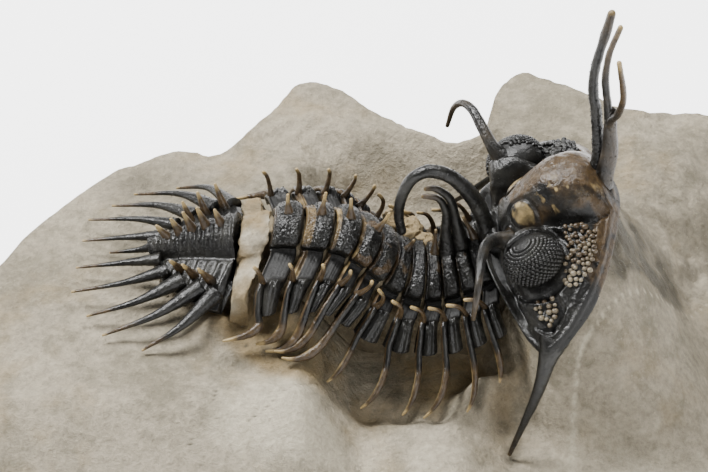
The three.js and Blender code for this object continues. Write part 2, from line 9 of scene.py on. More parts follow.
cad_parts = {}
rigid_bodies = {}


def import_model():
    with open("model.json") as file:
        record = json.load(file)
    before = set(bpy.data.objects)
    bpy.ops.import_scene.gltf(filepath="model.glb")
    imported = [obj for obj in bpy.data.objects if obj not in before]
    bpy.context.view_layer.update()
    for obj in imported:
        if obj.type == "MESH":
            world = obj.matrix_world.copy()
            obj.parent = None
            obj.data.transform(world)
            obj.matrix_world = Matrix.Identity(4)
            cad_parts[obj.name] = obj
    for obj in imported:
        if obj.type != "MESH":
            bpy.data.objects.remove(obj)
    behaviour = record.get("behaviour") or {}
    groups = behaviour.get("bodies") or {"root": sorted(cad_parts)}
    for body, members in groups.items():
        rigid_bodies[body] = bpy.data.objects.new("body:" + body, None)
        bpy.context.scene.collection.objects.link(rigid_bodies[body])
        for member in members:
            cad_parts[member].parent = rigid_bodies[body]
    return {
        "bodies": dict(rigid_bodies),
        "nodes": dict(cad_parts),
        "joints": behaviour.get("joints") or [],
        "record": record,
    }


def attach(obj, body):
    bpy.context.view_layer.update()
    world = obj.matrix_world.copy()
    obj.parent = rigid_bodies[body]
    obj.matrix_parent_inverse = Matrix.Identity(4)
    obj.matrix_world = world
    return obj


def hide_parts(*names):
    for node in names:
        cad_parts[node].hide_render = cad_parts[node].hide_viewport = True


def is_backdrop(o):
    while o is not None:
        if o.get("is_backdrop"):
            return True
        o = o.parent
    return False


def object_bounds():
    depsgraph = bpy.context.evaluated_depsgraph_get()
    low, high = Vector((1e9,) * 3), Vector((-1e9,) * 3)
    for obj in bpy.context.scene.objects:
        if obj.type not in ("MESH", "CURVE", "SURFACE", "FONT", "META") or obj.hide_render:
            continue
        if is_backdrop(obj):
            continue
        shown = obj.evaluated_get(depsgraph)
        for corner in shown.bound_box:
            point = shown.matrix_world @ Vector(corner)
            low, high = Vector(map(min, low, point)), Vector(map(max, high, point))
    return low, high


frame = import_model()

bl_info = {
    "name": "Spiny trilobite on limestone",
    "version": (1, 0, 0),
    "blender": (4, 5, 0),
    "location": "3D View > Sidebar > Fossil",
    "description": "Dresses a trilobite and its block of stone over their solid parts",
    "category": "Add Mesh",
}

PACKED_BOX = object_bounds()
MM = 0.001

# The crest of the back: origin in millimetres, pitch and heading in degrees.
# Row 0 is the neck, rows 1 to 11 the thorax, row 12 the bare collar of stone behind it.
CREST = [
    ((14.2, 0.0, 27.0), 32, 5), ((12.9, -0.2, 26.0), 28, 6), ((11.5, -0.3, 25.1), 22, 5),
    ((10.0, -0.4, 24.4), 14, 4), ((8.6, -0.5, 24.1), 4, 3), ((7.1, -0.5, 24.1), -8, 1),
    ((5.5, -0.5, 24.6), -28, 0), ((4.1, -0.5, 26.0), -38, -1), ((2.2, -0.5, 27.8), -30, -2),
    ((-0.2, -0.4, 29.2), -14, -2), ((-3.5, -0.4, 29.8), 0, -2), ((-7.0, -0.3, 29.9), 12, -2),
    ((-10.5, -0.2, 29.2), 15, -4),
]
COLLAR = 12
FULCRUM_OUT = 7.2
PLEURA_OUT = 9.6

# Tips of the side spines of joints 1 to 11: forward, outward and up from the crest
SIDE_TIPS = [
    None, (-3.2, 12.2, -9.3), (-4.7, 13.9, -10.3), (-6.0, 14.2, -9.8), (-4.8, 13.9, -10.1),
    (-5.2, 13.9, -10.3), (-4.2, 13.2, -9.9), (-6.0, 13.1, -11.0), (-5.5, 12.3, -10.9),
    (-6.5, 12.1, -10.2), (-6.5, 11.6, -8.3), (-8.1, 11.5, -6.6),
]

# Spines on the crest of the thorax, forward and up
CREST_SPINES = [
    None,
    [(0.3, 0), (0.5, 2), (0.6, 3.6)],
    [(0.1, 0), (1.0, 3.8), (1.5, 7.0), (0.7, 9.0), (-0.3, 9.5)],
    [(0.1, 0), (0.7, 3.2), (1.3, 5.6), (1.0, 7.8), (-0.5, 8.7)],
    [(0.1, 0), (0.3, 1.8), (0.5, 3.6)],
    None,
    [(0, 0), (0.1, 1), (0.1, 1.9)],
    None,
    [(0.1, 0), (0.3, 1.4), (0.2, 2.9)],
    [(0, 0), (-0.5, 1.5), (-0.8, 2.8)],
    [(0, 0), (0.2, 1.6), (0.5, 3.2)],
    [(0, 0), (0.2, 1.4), (0.5, 2.7)],
]

# Head shield, from the neck: forward, outward and up
HEAD_OUTLINE = [
    (-0.4, 0.0), (-0.4, 4.0), (0.0, 8.0), (0.4, 11.0), (1.0, 13.7), (2.6, 15.8),
    (5.2, 15.2), (7.8, 13.5), (9.9, 11.4), (12.1, 8.2), (13.7, 4.2), (14.5, 0.0),
]
HEAD_CENTRE = 6.8
HEAD_SHELL = 1.9
EYE_AT = (5.1, 7.9, 0.3)
EYE_RADII = (3.2, 2.8, 2.6)
GENAL_ROOT = [(3.6, 14.6, -5.2), (1.8, 15.9, -6.4)]
GENAL_SPINES = {
    -1: GENAL_ROOT + [(-1.3, 16.9, -9.2), (-7.8, 17.7, -14.4)],
    1: GENAL_ROOT + [(-1.8, 17.6, -8.2), (-7.8, 18.8, -9.6)],
}
HORNS = {
    -1: [
        (3.4, 5.6, 2.0), (2.6, 6.3, 3.7), (2.0, 7.9, 4.9), (1.8, 9.8, 5.7), (1.5, 12.0, 6.2),
        (0.7, 14.2, 5.8), (-0.4, 15.2, 4.7), (-1.7, 15.2, 3.0),
    ],
    1: [
        (4.4, 7.2, 2.0), (4.1, 8.1, 3.5), (3.9, 10.2, 5.0), (3.6, 12.2, 6.0), (2.6, 14.0, 6.2),
        (1.0, 15.2, 5.2), (-0.9, 15.4, 3.3),
    ],
}
NECK_SPINE = [
    (0.4, 0, -0.8), (0.6, 0, 0.8), (1.3, 0, 3.6), (1.5, 0, 6.5), (1.0, 0, 9.3), (-0.4, 0, 11.1),
    (-2.3, 0, 11.3), (-4.3, 0, 10.1), (-6.2, 0, 7.9), (-7.2, 0, 5.6),
]
FORK_STEM = [(13.2, -0.2, -1.4), (14.6, -0.3, -0.3), (16.6, -0.1, 1.9), (18.2, -0.1, 4.6), (19.6, -0.2, 6.9)]
FORK_MIDDLE = [(18.4, 0, 5.2), (19.8, 0, 8.0), (21.2, 0.1, 10.9), (23.2, 0, 13.7), (25.9, 0, 16.1)]
FORK_FAR = [
    (13.9, 0.4, 0.2), (15.4, 1.0, 1.9), (17.5, 2.0, 5.8), (18.6, 2.4, 8.3), (20.6, 2.7, 11.1),
    (25.1, 3.5, 15.5),
]
FORK_NEAR = [(19.0, -0.4, 6.0), (20.6, -1.5, 7.4), (22.4, -2.4, 9.9), (24.4, -3.2, 14.6)]

# Glabella: forward, half width and height of its top
GLABELLA = [
    (-0.5, 2.9, 0.1), (0.1, 3.3, 0.8), (1.2, 3.4, 0.8), (1.8, 3.2, 0.3), (2.6, 3.4, 1.4), (4.6, 3.8, 2.7),
    (7.2, 4.0, 3.6), (9.8, 4.5, 4.0), (12.0, 4.8, 3.3), (13.4, 4.1, 2.2), (14.2, 2.8, 0.8),
]

# Tail shield, from the middle of its front edge
TAIL = ((-12.75, 0.0, 28.4), 17.6, -6)
TAIL_LENGTH = 10.6
TAIL_HALF_WIDTH = 8.6
TAIL_DROP = 4.6
TAIL_SWEEP = 0.034
TAIL_SPINES = [
    ((-2.4, 7.1, -3.3), (-10.3, 13.2, -4.4)), ((-4.0, 6.4, -2.7), (-14.6, 11.5, -2.9)),
    ((-6.2, 5.2, -2.3), (-16.5, 9.0, -2.0)), ((-8.0, 3.7, -1.9), (-18.4, 5.9, -0.9)),
    ((-9.0, 1.9, -1.7), (-18.4, 2.2, -0.7)),
]
TAIL_END_SPINE = [(-8.8, 0, -1.1), (-11.5, 0, -1.5), (-15.0, 0, -1.2)]
TAIL_CREST_SPINES = [
    [(-1.6, -0.5), (-1.7, 2.2)], [(-3.3, -0.6), (-3.5, 2.9)], [(-4.9, -0.8), (-5.2, 2.6)],
    [(-6.4, -0.9), (-6.8, 2.0)], [(-7.8, -1.1), (-8.7, 1.4)],
]
TAIL_SIDE_SPINES = [
    [(-2.9, 5.7, -3.0), (-3.3, 6.9, 0.2)], [(-4.8, 4.7, -2.9), (-5.2, 5.9, 0.3)],
    [(-6.3, 3.7, -2.7), (-6.8, 4.8, 0.2)],
]

# Block of stone
BLOCK_EDGE = [
    (-39.1, 2.6), (-35.8, 8.2), (-28.2, 17.0), (-24.2, 19.8), (-20.2, 22.0), (-15.6, 21.6), (-12.2, 25.6),
    (-8.8, 31.0), (-6.2, 34.8), (-2.8, 34.8), (2.4, 29.6), (8.7, 25.4), (13.6, 25.0), (15.8, 27.4),
    (16.6, 32.6), (19.4, 36.6), (24.4, 33.6), (32.2, 29.6), (40.8, 29.6), (47, 25), (51, 16), (53, 6),
    (53, -10), (49, -25),
    (41, -35), (26, -40), (8, -42), (-12, -41), (-30, -39), (-43, -32), (-48, -20), (-44.5, -6),
]
BLOCK_CORE = (-20, 22, 0.55, -3)
TAIL_GROUND = 20.4
SIDE_GROUND = 12.8
HEAD_GROUND = 9.5
FAR_GROUND = 19.6
HIDDEN_GROOVE_FLOOR = 8.0
MOUND_GAP = 0.7
MOUND_SHARE = 0.8

# Camera of the photograph
IMAGE_SIZE = (708, 472)
CAMERA_ELEVATION = 42.0
CAMERA_TARGET = (0.0, 0.0, 26.46)
CAMERA_DISTANCE = 400.0
PIXELS_PER_MM = 9.23


# Small maths on arrays

def smooth(value, low, high):
    share = np.clip((np.asarray(value, float) - low) / (high - low), 0, 1)
    return share * share * (3 - 2 * share)


def mix(a, b, share):
    return a + (b - a) * share


def bell(value, centre, width):
    return np.exp(-(((value - centre) / width) ** 2))


def lattice_value(cells, seed):
    n = cells[..., 0] * 73856093 ^ cells[..., 1] * 19349663 ^ cells[..., 2] * 83492791 ^ seed * 2654435
    n = (n ^ (n >> 13)) * 1274126177
    n = n ^ (n >> 16)
    return (n & 0xFFFFF) / 0x7FFFF - 1.0


def rough(points, size, seed, octaves=3, gain=0.5):
    """Smooth noise between about -1 and 1 at points in millimetres, for an array of any shape."""
    total = np.zeros(points.shape[:-1])
    weight = 1.0
    for octave in range(octaves):
        scaled = points / (size / 2 ** octave)
        cell = np.floor(scaled).astype(np.int64)
        part = scaled - cell
        part = part * part * (3 - 2 * part)
        value = np.zeros(points.shape[:-1])
        for corner in range(8):
            step = np.array([corner & 1, corner >> 1 & 1, corner >> 2 & 1])
            share = np.prod(np.where(step, part, 1 - part), axis=-1)
            value += share * lattice_value(cell + step, seed + octave)
        total += weight * value
        weight *= gain
    return total


def on_plane(x, y):
    """Points with no height, to take noise from."""
    return np.stack([x, y, np.zeros_like(x)], axis=-1)


def curve_through(points, count):
    """Count rows along a smooth curve through the given rows, which may carry a radius too."""
    rows = np.asarray(points, float)
    if len(rows) == 2:
        rows = np.array([rows[0], rows.mean(axis=0), rows[1]])
    padded = np.vstack([2 * rows[0] - rows[1], rows, 2 * rows[-1] - rows[-2]])
    place = np.linspace(0, len(rows) - 1, count)
    start = np.minimum(place.astype(int), len(rows) - 2)
    t = (place - start)[:, None]
    a, b, c, d = (padded[start + k] for k in range(4))
    square = 2 * a - 5 * b + 4 * c - d
    cube = 3 * b - a - 3 * c + d
    return 0.5 * (2 * b + (c - a) * t + square * t ** 2 + cube * t ** 3)


def closed_curve(points, count, overlap, samples):
    """Count points at even steps along a smooth closed curve through the given ones."""
    loop = np.vstack([points, points[:1]])
    extended = np.vstack([loop[-1 - overlap:-1], loop, loop[1:1 + overlap]])
    steps = len(extended) - 1
    dense = curve_through(extended, samples)
    dense = dense[int(samples * overlap / steps):int(samples * (len(loop) + overlap - 1) / steps)]
    length = np.concatenate([[0], np.cumsum(np.linalg.norm(np.diff(dense, axis=0), axis=1))])
    place = np.linspace(0, length[-1], count, endpoint=False)
    return np.column_stack([np.interp(place, length, dense[:, k]) for k in range(2)])


class Joint:
    """Directions of a joint: fore along the back, left across it and up out of it."""

    def __init__(self, at, pitch, yaw):
        p, y = math.radians(pitch), math.radians(yaw)
        self.origin = np.array(at, float)
        self.fore = np.array([math.cos(p) * math.cos(y), math.cos(p) * math.sin(y), math.sin(p)])
        self.left = np.array([-math.sin(y), math.cos(y), 0.0])
        self.up = np.cross(self.fore, self.left)

    def place(self, points):
        rows = np.asarray(points, float)
        fore, left, up = (rows[..., k:k + 1] for k in range(3))
        return self.origin + fore * self.fore + left * self.left + up * self.up

    def route(self, path, side=1):
        """A path that is given for the far side, placed on a side."""
        return self.place(np.array(path, float) * (1, side, 1))


JOINTS = [Joint(*row) for row in CREST]
HEAD = JOINTS[0]
TAIL_JOINT = Joint(*TAIL)


# Meshes from rings

class Clay:
    """Closed skins gathered into one mesh, with marks on their points for the materials."""

    MARKS = ("straw", "brown", "cream", "grain", "matt")

    def __init__(self):
        self.points = []
        self.faces = []
        self.marks = {name: [] for name in self.MARKS}
        self.count = 0

    def add(self, rings, **marks):
        """Adds a closed skin over rings of points, capped at both ends."""
        rows, sides = rings.shape[:2]
        points = np.vstack([rings.reshape(-1, 3), rings[0].mean(axis=0), rings[-1].mean(axis=0)])
        first = np.arange(rows * sides).reshape(rows, sides)
        turned = np.roll(first, -1, axis=1)
        quads = np.stack([first[:-1], turned[:-1], turned[1:], first[1:]], axis=-1).reshape(-1, 4)
        start, end = rows * sides, rows * sides + 1
        near_cap = np.stack([turned[0], first[0], np.full(sides, start)], axis=-1)
        far_cap = np.stack([first[-1], turned[-1], np.full(sides, end)], axis=-1)
        volume = self.signed_volume(points, quads, near_cap, far_cap)
        faces = [quads, near_cap, far_cap]
        if volume < 0:
            faces = [face[:, ::-1] for face in faces]
        self.points.append(points)
        for face in faces:
            self.faces.extend((face + self.count).tolist())
        for name in self.MARKS:
            value = np.asarray(marks.get(name, 0.0), float)
            if value.ndim == 0:
                value = np.full((rows, sides), float(value))
            elif value.ndim == 1:
                value = np.repeat(value[:, None], sides, axis=1)
            self.marks[name].append(np.concatenate([value.ravel(), [value[0].mean(), value[-1].mean()]]))
        self.count += len(points)

    @staticmethod
    def signed_volume(points, *face_groups):
        volume = 0.0
        centre = points.mean(axis=0)
        for faces in face_groups:
            for k in range(1, faces.shape[1] - 1):
                a, b, c = (points[faces[:, i]] - centre for i in (0, k, k + 1))
                volume += np.einsum("ij,ij->i", a, np.cross(b, c)).sum()
        return volume

    def piece(self, name, *materials):
        """The gathered skins as one object, in metres."""
        mesh = bpy.data.meshes.new(name)
        mesh.from_pydata((np.vstack(self.points) * MM).tolist(), [], self.faces)
        for mark, values in self.marks.items():
            layer = mesh.attributes.new(mark, "FLOAT", "POINT")
            layer.data.foreach_set("value", np.concatenate(values).astype(np.float32))
        mesh.polygons.foreach_set("use_smooth", np.ones(len(mesh.polygons), bool))
        mesh.update()
        piece = bpy.data.objects.new(name, mesh)
        bpy.context.scene.collection.objects.link(piece)
        for material in materials:
            mesh.materials.append(material)
        return piece


def tube_rings(points, radii, sides=14, samples=30, flat=1.0, across=None, wobble=0.04, seed=1):
    """Rings of a tapered tube with a rounded tip. Flat squeezes it across the given direction."""
    share = np.linspace(0, 1, len(points))
    steps = np.linspace(0, 1, len(radii))
    rows = curve_through(np.column_stack([points, np.interp(share, steps, radii)]), samples)
    centre, radius = rows[:, :3], np.maximum(rows[:, 3], 0.02)
    end = centre[-1] - centre[-2]
    end = end / np.linalg.norm(end)
    for reach, shrink in ((0.5, 0.86), (0.85, 0.5)):
        centre = np.vstack([centre, rows[-1, :3] + end * reach * rows[-1, 3]])
        radius = np.append(radius, rows[-1, 3] * shrink)
    ahead = np.gradient(centre, axis=0)
    ahead /= np.linalg.norm(ahead, axis=1)[:, None]
    side = np.cross(ahead[0], across if across is not None else (0.31, 0.17, 0.93))
    rings = []
    angle = np.linspace(0, 2 * np.pi, sides, endpoint=False)
    for spot, way, size in zip(centre, ahead, radius):
        side = side - way * (side @ way)
        side = side / np.linalg.norm(side)
        other = np.cross(way, side)
        rings.append(spot + size * (np.outer(np.cos(angle), side) + flat * np.outer(np.sin(angle), other)))
    rings = np.array(rings)
    if wobble:
        bump = rough(rings, 1.3, seed, 2) + 0.5 * rough(rings, 0.45, seed + 5, 2)
        rings = rings + (rings - centre[:, None]) * (wobble * bump)[..., None]
    return rings


def add_spine(clay, points, root, tip, straw_from=0.62, straw=1.0, flare=1.7, brown=0.0, grain=0.0, **shape):
    """A spine that swells into what it grows from and turns pale towards its tip."""
    points = np.asarray(points, float)
    length = np.linalg.norm(np.diff(points, axis=0), axis=1).sum()
    swell = np.linspace(0, 1, 12)
    radii = mix(root, tip, swell ** 0.9) * (1 + (flare - 1) * np.exp(-swell * length / 0.7))
    rings = tube_rings(points, radii, **shape)
    along = np.linspace(0, 1, len(rings))
    clay.add(
        rings,
        straw=straw * smooth(along, straw_from, 1.0),
        brown=brown + (1 - brown) * smooth(along, straw_from - 0.35, straw_from + 0.1) * min(1, straw),
        grain=grain * (1 - along),
    )


# Thorax

def arch_stations(joint):
    """The arch of a joint from crest to side edge, as forward, outward and up."""
    front = (11 - joint) / 10
    growth = min(1, 1.6 * front)
    ring_out = 3.2 + 1.3 * growth
    ring_drop = 1.9 + 0.9 * growth
    furrow = np.array([-0.9 + 0.7 * front, ring_out, -ring_drop])
    fulcrum = np.array([-2.2 + 1.6 * front, FULCRUM_OUT, -2.9 - 0.3 * front])
    edge = np.array([-3.2 + 2.2 * front, PLEURA_OUT, -5.2 - 0.4 * front])
    return np.array([
        (0, 0, 0),
        (0.15 * furrow[0], 0.5 * ring_out, -0.16 * ring_drop),
        (0.5 * furrow[0], 0.84 * ring_out, -0.55 * ring_drop),
        furrow,
        mix(furrow, fulcrum, 0.12) + (0, 0, -0.45),
        fulcrum,
        mix(fulcrum, edge, 0.5) + (0, 0, 0.35),
        edge,
    ])


def arch_line(joint, count):
    """Points across the whole arch of a joint, from the near edge to the far one."""
    half = arch_stations(joint)
    near = half[::-1] * (1, -1, 1)
    return JOINTS[joint].place(curve_through(np.vstack([near, half[1:]]), count))


# Rear border of a joint: where it begins, from 1 in front to -1 behind, and how brown it is
REAR_BORDERS = {
    11: (-0.8, 0.55), 10: (-0.3, 1.0), 9: (-0.64, 1.0), 8: (-0.7, 0.85), 7: (-0.72, 0.7), 6: (-0.7, 0.8),
    5: (-0.72, 0.6), 4: (-0.74, 0.5), 3: (-0.74, 0.5), 2: (-0.76, 0.6), 1: (-0.78, 0.4),
}


def joint_relief(station, s, border):
    """Height of a joint's top over its arch: ring, flat inner field, blunt outer lobe."""
    axis = 1 - smooth(station, 2.3, 3.0)
    outer = smooth(station, 4.7, 5.1)
    inner = smooth(station, 3.0, 3.3) * (1 - outer)
    share = np.clip((s - border) / (1 - border), 0, 1)
    ring = 0.5 * np.sqrt(np.maximum(0, 1 - np.abs(2 * share - 1) ** 3.5)) - 0.06
    lip = 0.16 * bell(s, -0.92, 0.1)
    rib = 0.34 * bell(s, mix(border, -1, 0.5), 0.13)
    lobe = 0.5 * np.sqrt(np.maximum(0, 1 - ((s - 0.3) / 0.66) ** 2))
    folds = 0.1 * bell(s, 0.02, 0.1) + 0.1 * bell(s, 0.55, 0.12) - 0.07 * bell(s, 0.3, 0.1)
    fine = 0.012 * np.sin(s * 21 + 1.3)
    axial_furrow = 0.34 * bell(station, 3.05, 0.2)
    height = (
        np.outer(axis, ring + lip)
        + np.outer(inner, rib - 0.14 + fine)
        + np.outer(outer, lobe + folds - 0.16)
        - np.outer(axial_furrow, np.ones_like(s))
        - np.outer(bell(station, 4.75, 0.16), 0.14 * smooth(s, -0.4, -0.2))
        - 0.3 * np.abs(s) ** 9
    )
    return height, axis, inner, outer


# Points across an arch, points along its top and where its rear band runs
ARCH_COUNT = 201
TOP_COLUMNS = 33
BAND_SHARE = -0.64

# Worn brown patches on the rings: where the patch begins and ends, and its strength
WORN_RINGS = {joint: (0.45, 0.95, 0.8) for joint in (7, 8, 9)}
WORN_RINGS.update({joint: (0.5, 1.0, 0.55) for joint in (2, 4, 5, 6)})
STRAW_BORDERS = (8, 9, 10)


def joint_marks(joint, rings, s, axis, inner, outer):
    """Brown, straw, grainy and matt places of a joint."""
    border, border_brown = REAR_BORDERS[joint]
    shape = rings.shape[:2]
    columns = len(s)
    patch = smooth(rough(rings, 2.4, 7), -0.15, 0.6)
    top_patch = patch[:, :columns]
    band = smooth(-s, -border - 0.03, -border + 0.07)
    brown, straw, grain, matt = (np.zeros(shape) for _ in range(4))
    brown[:, :columns] = np.outer(axis + inner, band * border_brown) * (0.65 + 0.35 * top_patch)
    if joint in WORN_RINGS:
        low, high, strength = WORN_RINGS[joint]
        brown = np.maximum(brown, axis[:, None] * smooth(patch, low, high) * strength)
    if joint in STRAW_BORDERS:
        straw[:, :columns] = np.outer(axis + 0.8 * inner, band) * (0.35 + 0.35 * top_patch)
    grain[:, 2:columns - 2] = axis[:, None] + 0.3 * outer[:, None]
    matt[:, :columns] = np.outer(inner, 1 - 0.6 * band)
    return {"brown": brown, "straw": straw, "grain": grain, "matt": matt}


def round_ends(rings, line, swell=0.3):
    """The rings with a low dome of smaller rings at both ends."""
    parts = np.array([0.25, 0.5, 0.75])[:, None, None]
    ends = []
    for ring, inward in ((rings[0], line[2] - line[0]), (rings[-1], line[-3] - line[-1])):
        middle = ring.mean(axis=0)
        away = -inward / np.linalg.norm(inward)
        ends.append(middle + (ring - middle) * parts ** 0.6 + swell * np.sqrt(1 - parts ** 2) * away)
    return np.concatenate([ends[0], rings, ends[1][::-1]])


def joint_piece(joint, material):
    """One joint of the thorax with its arch, side spines, fulcral spines and crest spine."""
    clay = Clay()
    centre = arch_line(joint, ARCH_COUNT)
    to_head = (arch_line(joint - 1, ARCH_COUNT) - centre) / 2
    to_tail = (arch_line(joint + 1, ARCH_COUNT) - centre) / 2
    station = np.abs(np.linspace(-7, 7, ARCH_COUNT))
    up = np.cross(to_head - to_tail, np.gradient(centre, axis=0))
    up /= np.linalg.norm(up, axis=1)[:, None]
    rear = joint > 6
    s = np.linspace(1, -1, TOP_COLUMNS)
    relief, axis, inner, outer = joint_relief(station, s, REAR_BORDERS[joint][0])
    fill = (0.86 + 0.07 * axis) * mix(1.0, 0.88 if rear else 1.0, smooth(station, 6.0, 7.0))

    def spread(share):
        ahead = np.maximum(share, 0)[None, :, None] * to_head[:, None, :]
        behind = np.maximum(-share, 0)[None, :, None] * to_tail[:, None, :]
        return (ahead + behind) * fill[:, None, None]

    top = centre[:, None] + spread(s) + up[:, None] * relief[..., None]
    under = centre[:, None] + spread(np.array([-0.88, -0.4, 0.4, 0.88])) - up[:, None] * 0.95
    rings = np.concatenate([top, under], axis=1)
    marks = joint_marks(joint, rings, s, axis, inner, outer)
    lumps = rough(rings, 1.1, 40 + joint)
    grit = rough(rings, 0.34, 60 + joint, 2)
    rough_share = np.clip(axis + 0.35 * outer, 0, 1)[:, None]
    lift = 0.07 * lumps * (0.4 + 0.6 * rough_share) + 0.05 * grit * rough_share
    rings = round_ends(rings + up[:, None] * lift[..., None], centre)
    marks = {name: np.pad(mark, ((3, 3), (0, 0)), mode="edge") for name, mark in marks.items()}
    clay.add(rings, **marks)
    for side in (-1, 1):
        stations = np.array([5.0, 5.5, 6.0, 6.5, 6.9])
        picks = np.round((side * stations + 7) / 14 * (ARCH_COUNT - 1)).astype(int)
        band = (centre + spread(np.array([BAND_SHARE]))[:, 0])[picks] + up[picks] * 0.06
        add_side_spine(clay, joint, side, band, to_tail)
        add_fulcral_spine(clay, joint, band[0], up[picks[0]], side)
    add_crest_spine(clay, joint)
    return clay.piece(f"joint_{joint:02d}", material)


def add_crest_spine(clay, joint):
    """The spine on the crest of a joint, long on joints 2 and 3."""
    if not CREST_SPINES[joint]:
        return
    path = [(forward, 0, upward - (0.6 if upward == 0 else 0)) for forward, upward in CREST_SPINES[joint]]
    points = JOINTS[joint].place(path)
    pale = joint >= 8
    straw = 1.0 if pale else 0.5
    if len(path) > 3:
        add_spine(clay, points, 0.7, 0.27, straw_from=0.9, straw=straw, flare=1.6, brown=0.15, grain=0.3,
                  samples=48)
    else:
        add_spine(clay, points, 0.3, 0.17, straw_from=0.15 if pale else 0.6, straw=straw, flare=2.6,
                  brown=0.5, grain=0.3, samples=22)


def add_side_spine(clay, joint, side, band, to_tail):
    """The rear band of the outer pleura, which runs on into the side spine."""
    rear = joint > 6
    edge = arch_stations(joint)[7]
    tip = np.array(SIDE_TIPS[joint])
    back = min(0.6 * np.linalg.norm(to_tail[0]), 0.9)
    shoulder = edge + (-back, 0.35, -0.5)
    bend = mix(edge, tip, np.array((-0.1, 0.97, 0.82) if rear else (0.12, 0.93, 0.6))) - (back, 0, 0)
    t = np.linspace(0.12, 1, 8)[:, None]
    path = (1 - t) ** 2 * shoulder + 2 * t * (1 - t) * bend + t ** 2 * tip
    points = np.vstack([band, JOINTS[joint].place(path * (1, side, 1))])
    if rear:
        swell, knots, spine = [0.3, 0.31, 0.33, 0.36, 0.4], [0, 0.45, 1], [0.44, 0.52, 0.13]
    else:
        swell, knots, spine = [0.31, 0.32, 0.33, 0.34, 0.36], [0, 0.5, 1], [0.37, 0.34, 0.12]
    radii = swell + list(np.interp(np.linspace(0, 1, 8), knots, spine))
    rings = tube_rings(points, radii, samples=66, sides=16, wobble=0.07, seed=joint)
    along = np.linspace(0, 1, len(rings))[:, None]
    away = rings - rings.mean(axis=1, keepdims=True)
    away /= np.linalg.norm(away, axis=2, keepdims=True)
    rim = smooth(away @ -JOINTS[joint].fore, 0.35, 0.85)
    tip_straw = smooth(along, 0.78, 0.97) * np.ones_like(rim)
    straw = np.maximum(tip_straw, rim * (0.42 if rear else 0.55) * smooth(along, 0.3, 0.5))
    brown = np.maximum(mix(0.1, 0.8, smooth(along, 0.32, 0.5)) * np.ones_like(rim), rim)
    clay.add(rings, straw=straw, brown=brown * (1.0 if rear else 0.8), grain=0.15)


def add_fulcral_spine(clay, joint, root, up, side):
    """Short curved spine on the rear band, dark at its foot and straw at its tip."""
    frame = JOINTS[joint]
    rear = joint > 6
    outward = frame.left * side
    lean = -0.2 if rear else -1.1
    points = [
        root - up * 0.35,
        root + frame.up * 1.0 + outward * 0.35 + frame.fore * 0.1,
        root + frame.up * 2.1 + outward * 0.6 + frame.fore * (0.1 + 0.3 * lean),
        root + frame.up * 2.7 + outward * 0.6 + frame.fore * lean,
    ]
    add_spine(clay, points, 0.27, 0.2, straw_from=0.5, straw=0.85, flare=1.5, brown=0.55, sides=12,
              samples=24, wobble=0.12, seed=joint + 7)


# Head

def head_outline(count):
    """Points around the edge of the head shield, forward and outward."""
    half = np.array(HEAD_OUTLINE)
    return closed_curve(np.vstack([half, half[1:-1][::-1] * (1, -1)]), count, 2, 4000)


def cheek_height(f, w):
    slopes = 0.8 - 0.024 * w ** 2 - 0.03 * np.maximum(0, f - 6) ** 2
    return slopes - 1.5 * (1 - smooth(f, 0, 3.2))


def head_underside(f, w):
    """Height of the hollow underside of the head shield."""
    return np.minimum(cheek_height(f, w) - HEAD_SHELL, -0.6)


def rim_height(f, w):
    side = np.abs(w)
    rear = mix(-0.9, -6.1, smooth(side, 5, 15))
    front = -4.0 - 1.6 * smooth(side, 6, 15)
    return np.maximum(mix(rear, front, smooth(f, 3, 8)), cheek_height(f, w) - 4.4)


# Ridge around the lower corner of each cheek and the side lobe of the glabella
CHEEK_RIDGE = [(1.5, 7.0), (1.6, 9.8), (1.9, 12.8), (3.4, 15.0), (5.0, 14.5), (6.2, 13.4), (6.3, 12.2)]
SIDE_LOBE = ((5.5, 2.4), (0.84, 0.54), 1.62, 1.15)


def glabella_profile(f):
    """Half width of the glabella and height of its crest."""
    table = curve_through(GLABELLA, 200)
    return np.interp(f, table[:, 0], table[:, 1]), np.interp(f, table[:, 0], table[:, 2])


def neck_lobe(f, side):
    """Distance from the middle of the small lobe beside the neck, where 1 is its edge."""
    return np.hypot((f - 2.9) / 0.8, (side - 3.0) / 0.9)


def side_lobe(f, side):
    """Distance from the middle of the side lobe, where 1 is the groove around it."""
    (at_f, at_w), (long_f, long_w), length, width = SIDE_LOBE
    along = (f - at_f) * long_f + (side - at_w) * long_w
    across = (side - at_w) * long_f - (f - at_f) * long_w
    return np.hypot(along / length, across / width)


def line_distance(f, side, path, count=90):
    """Distance from a curve drawn on the head."""
    nearest = np.full(np.shape(f), 99.0)
    for at_f, at_w in curve_through(path, count):
        nearest = np.minimum(nearest, np.hypot(f - at_f, side - at_w))
    return nearest


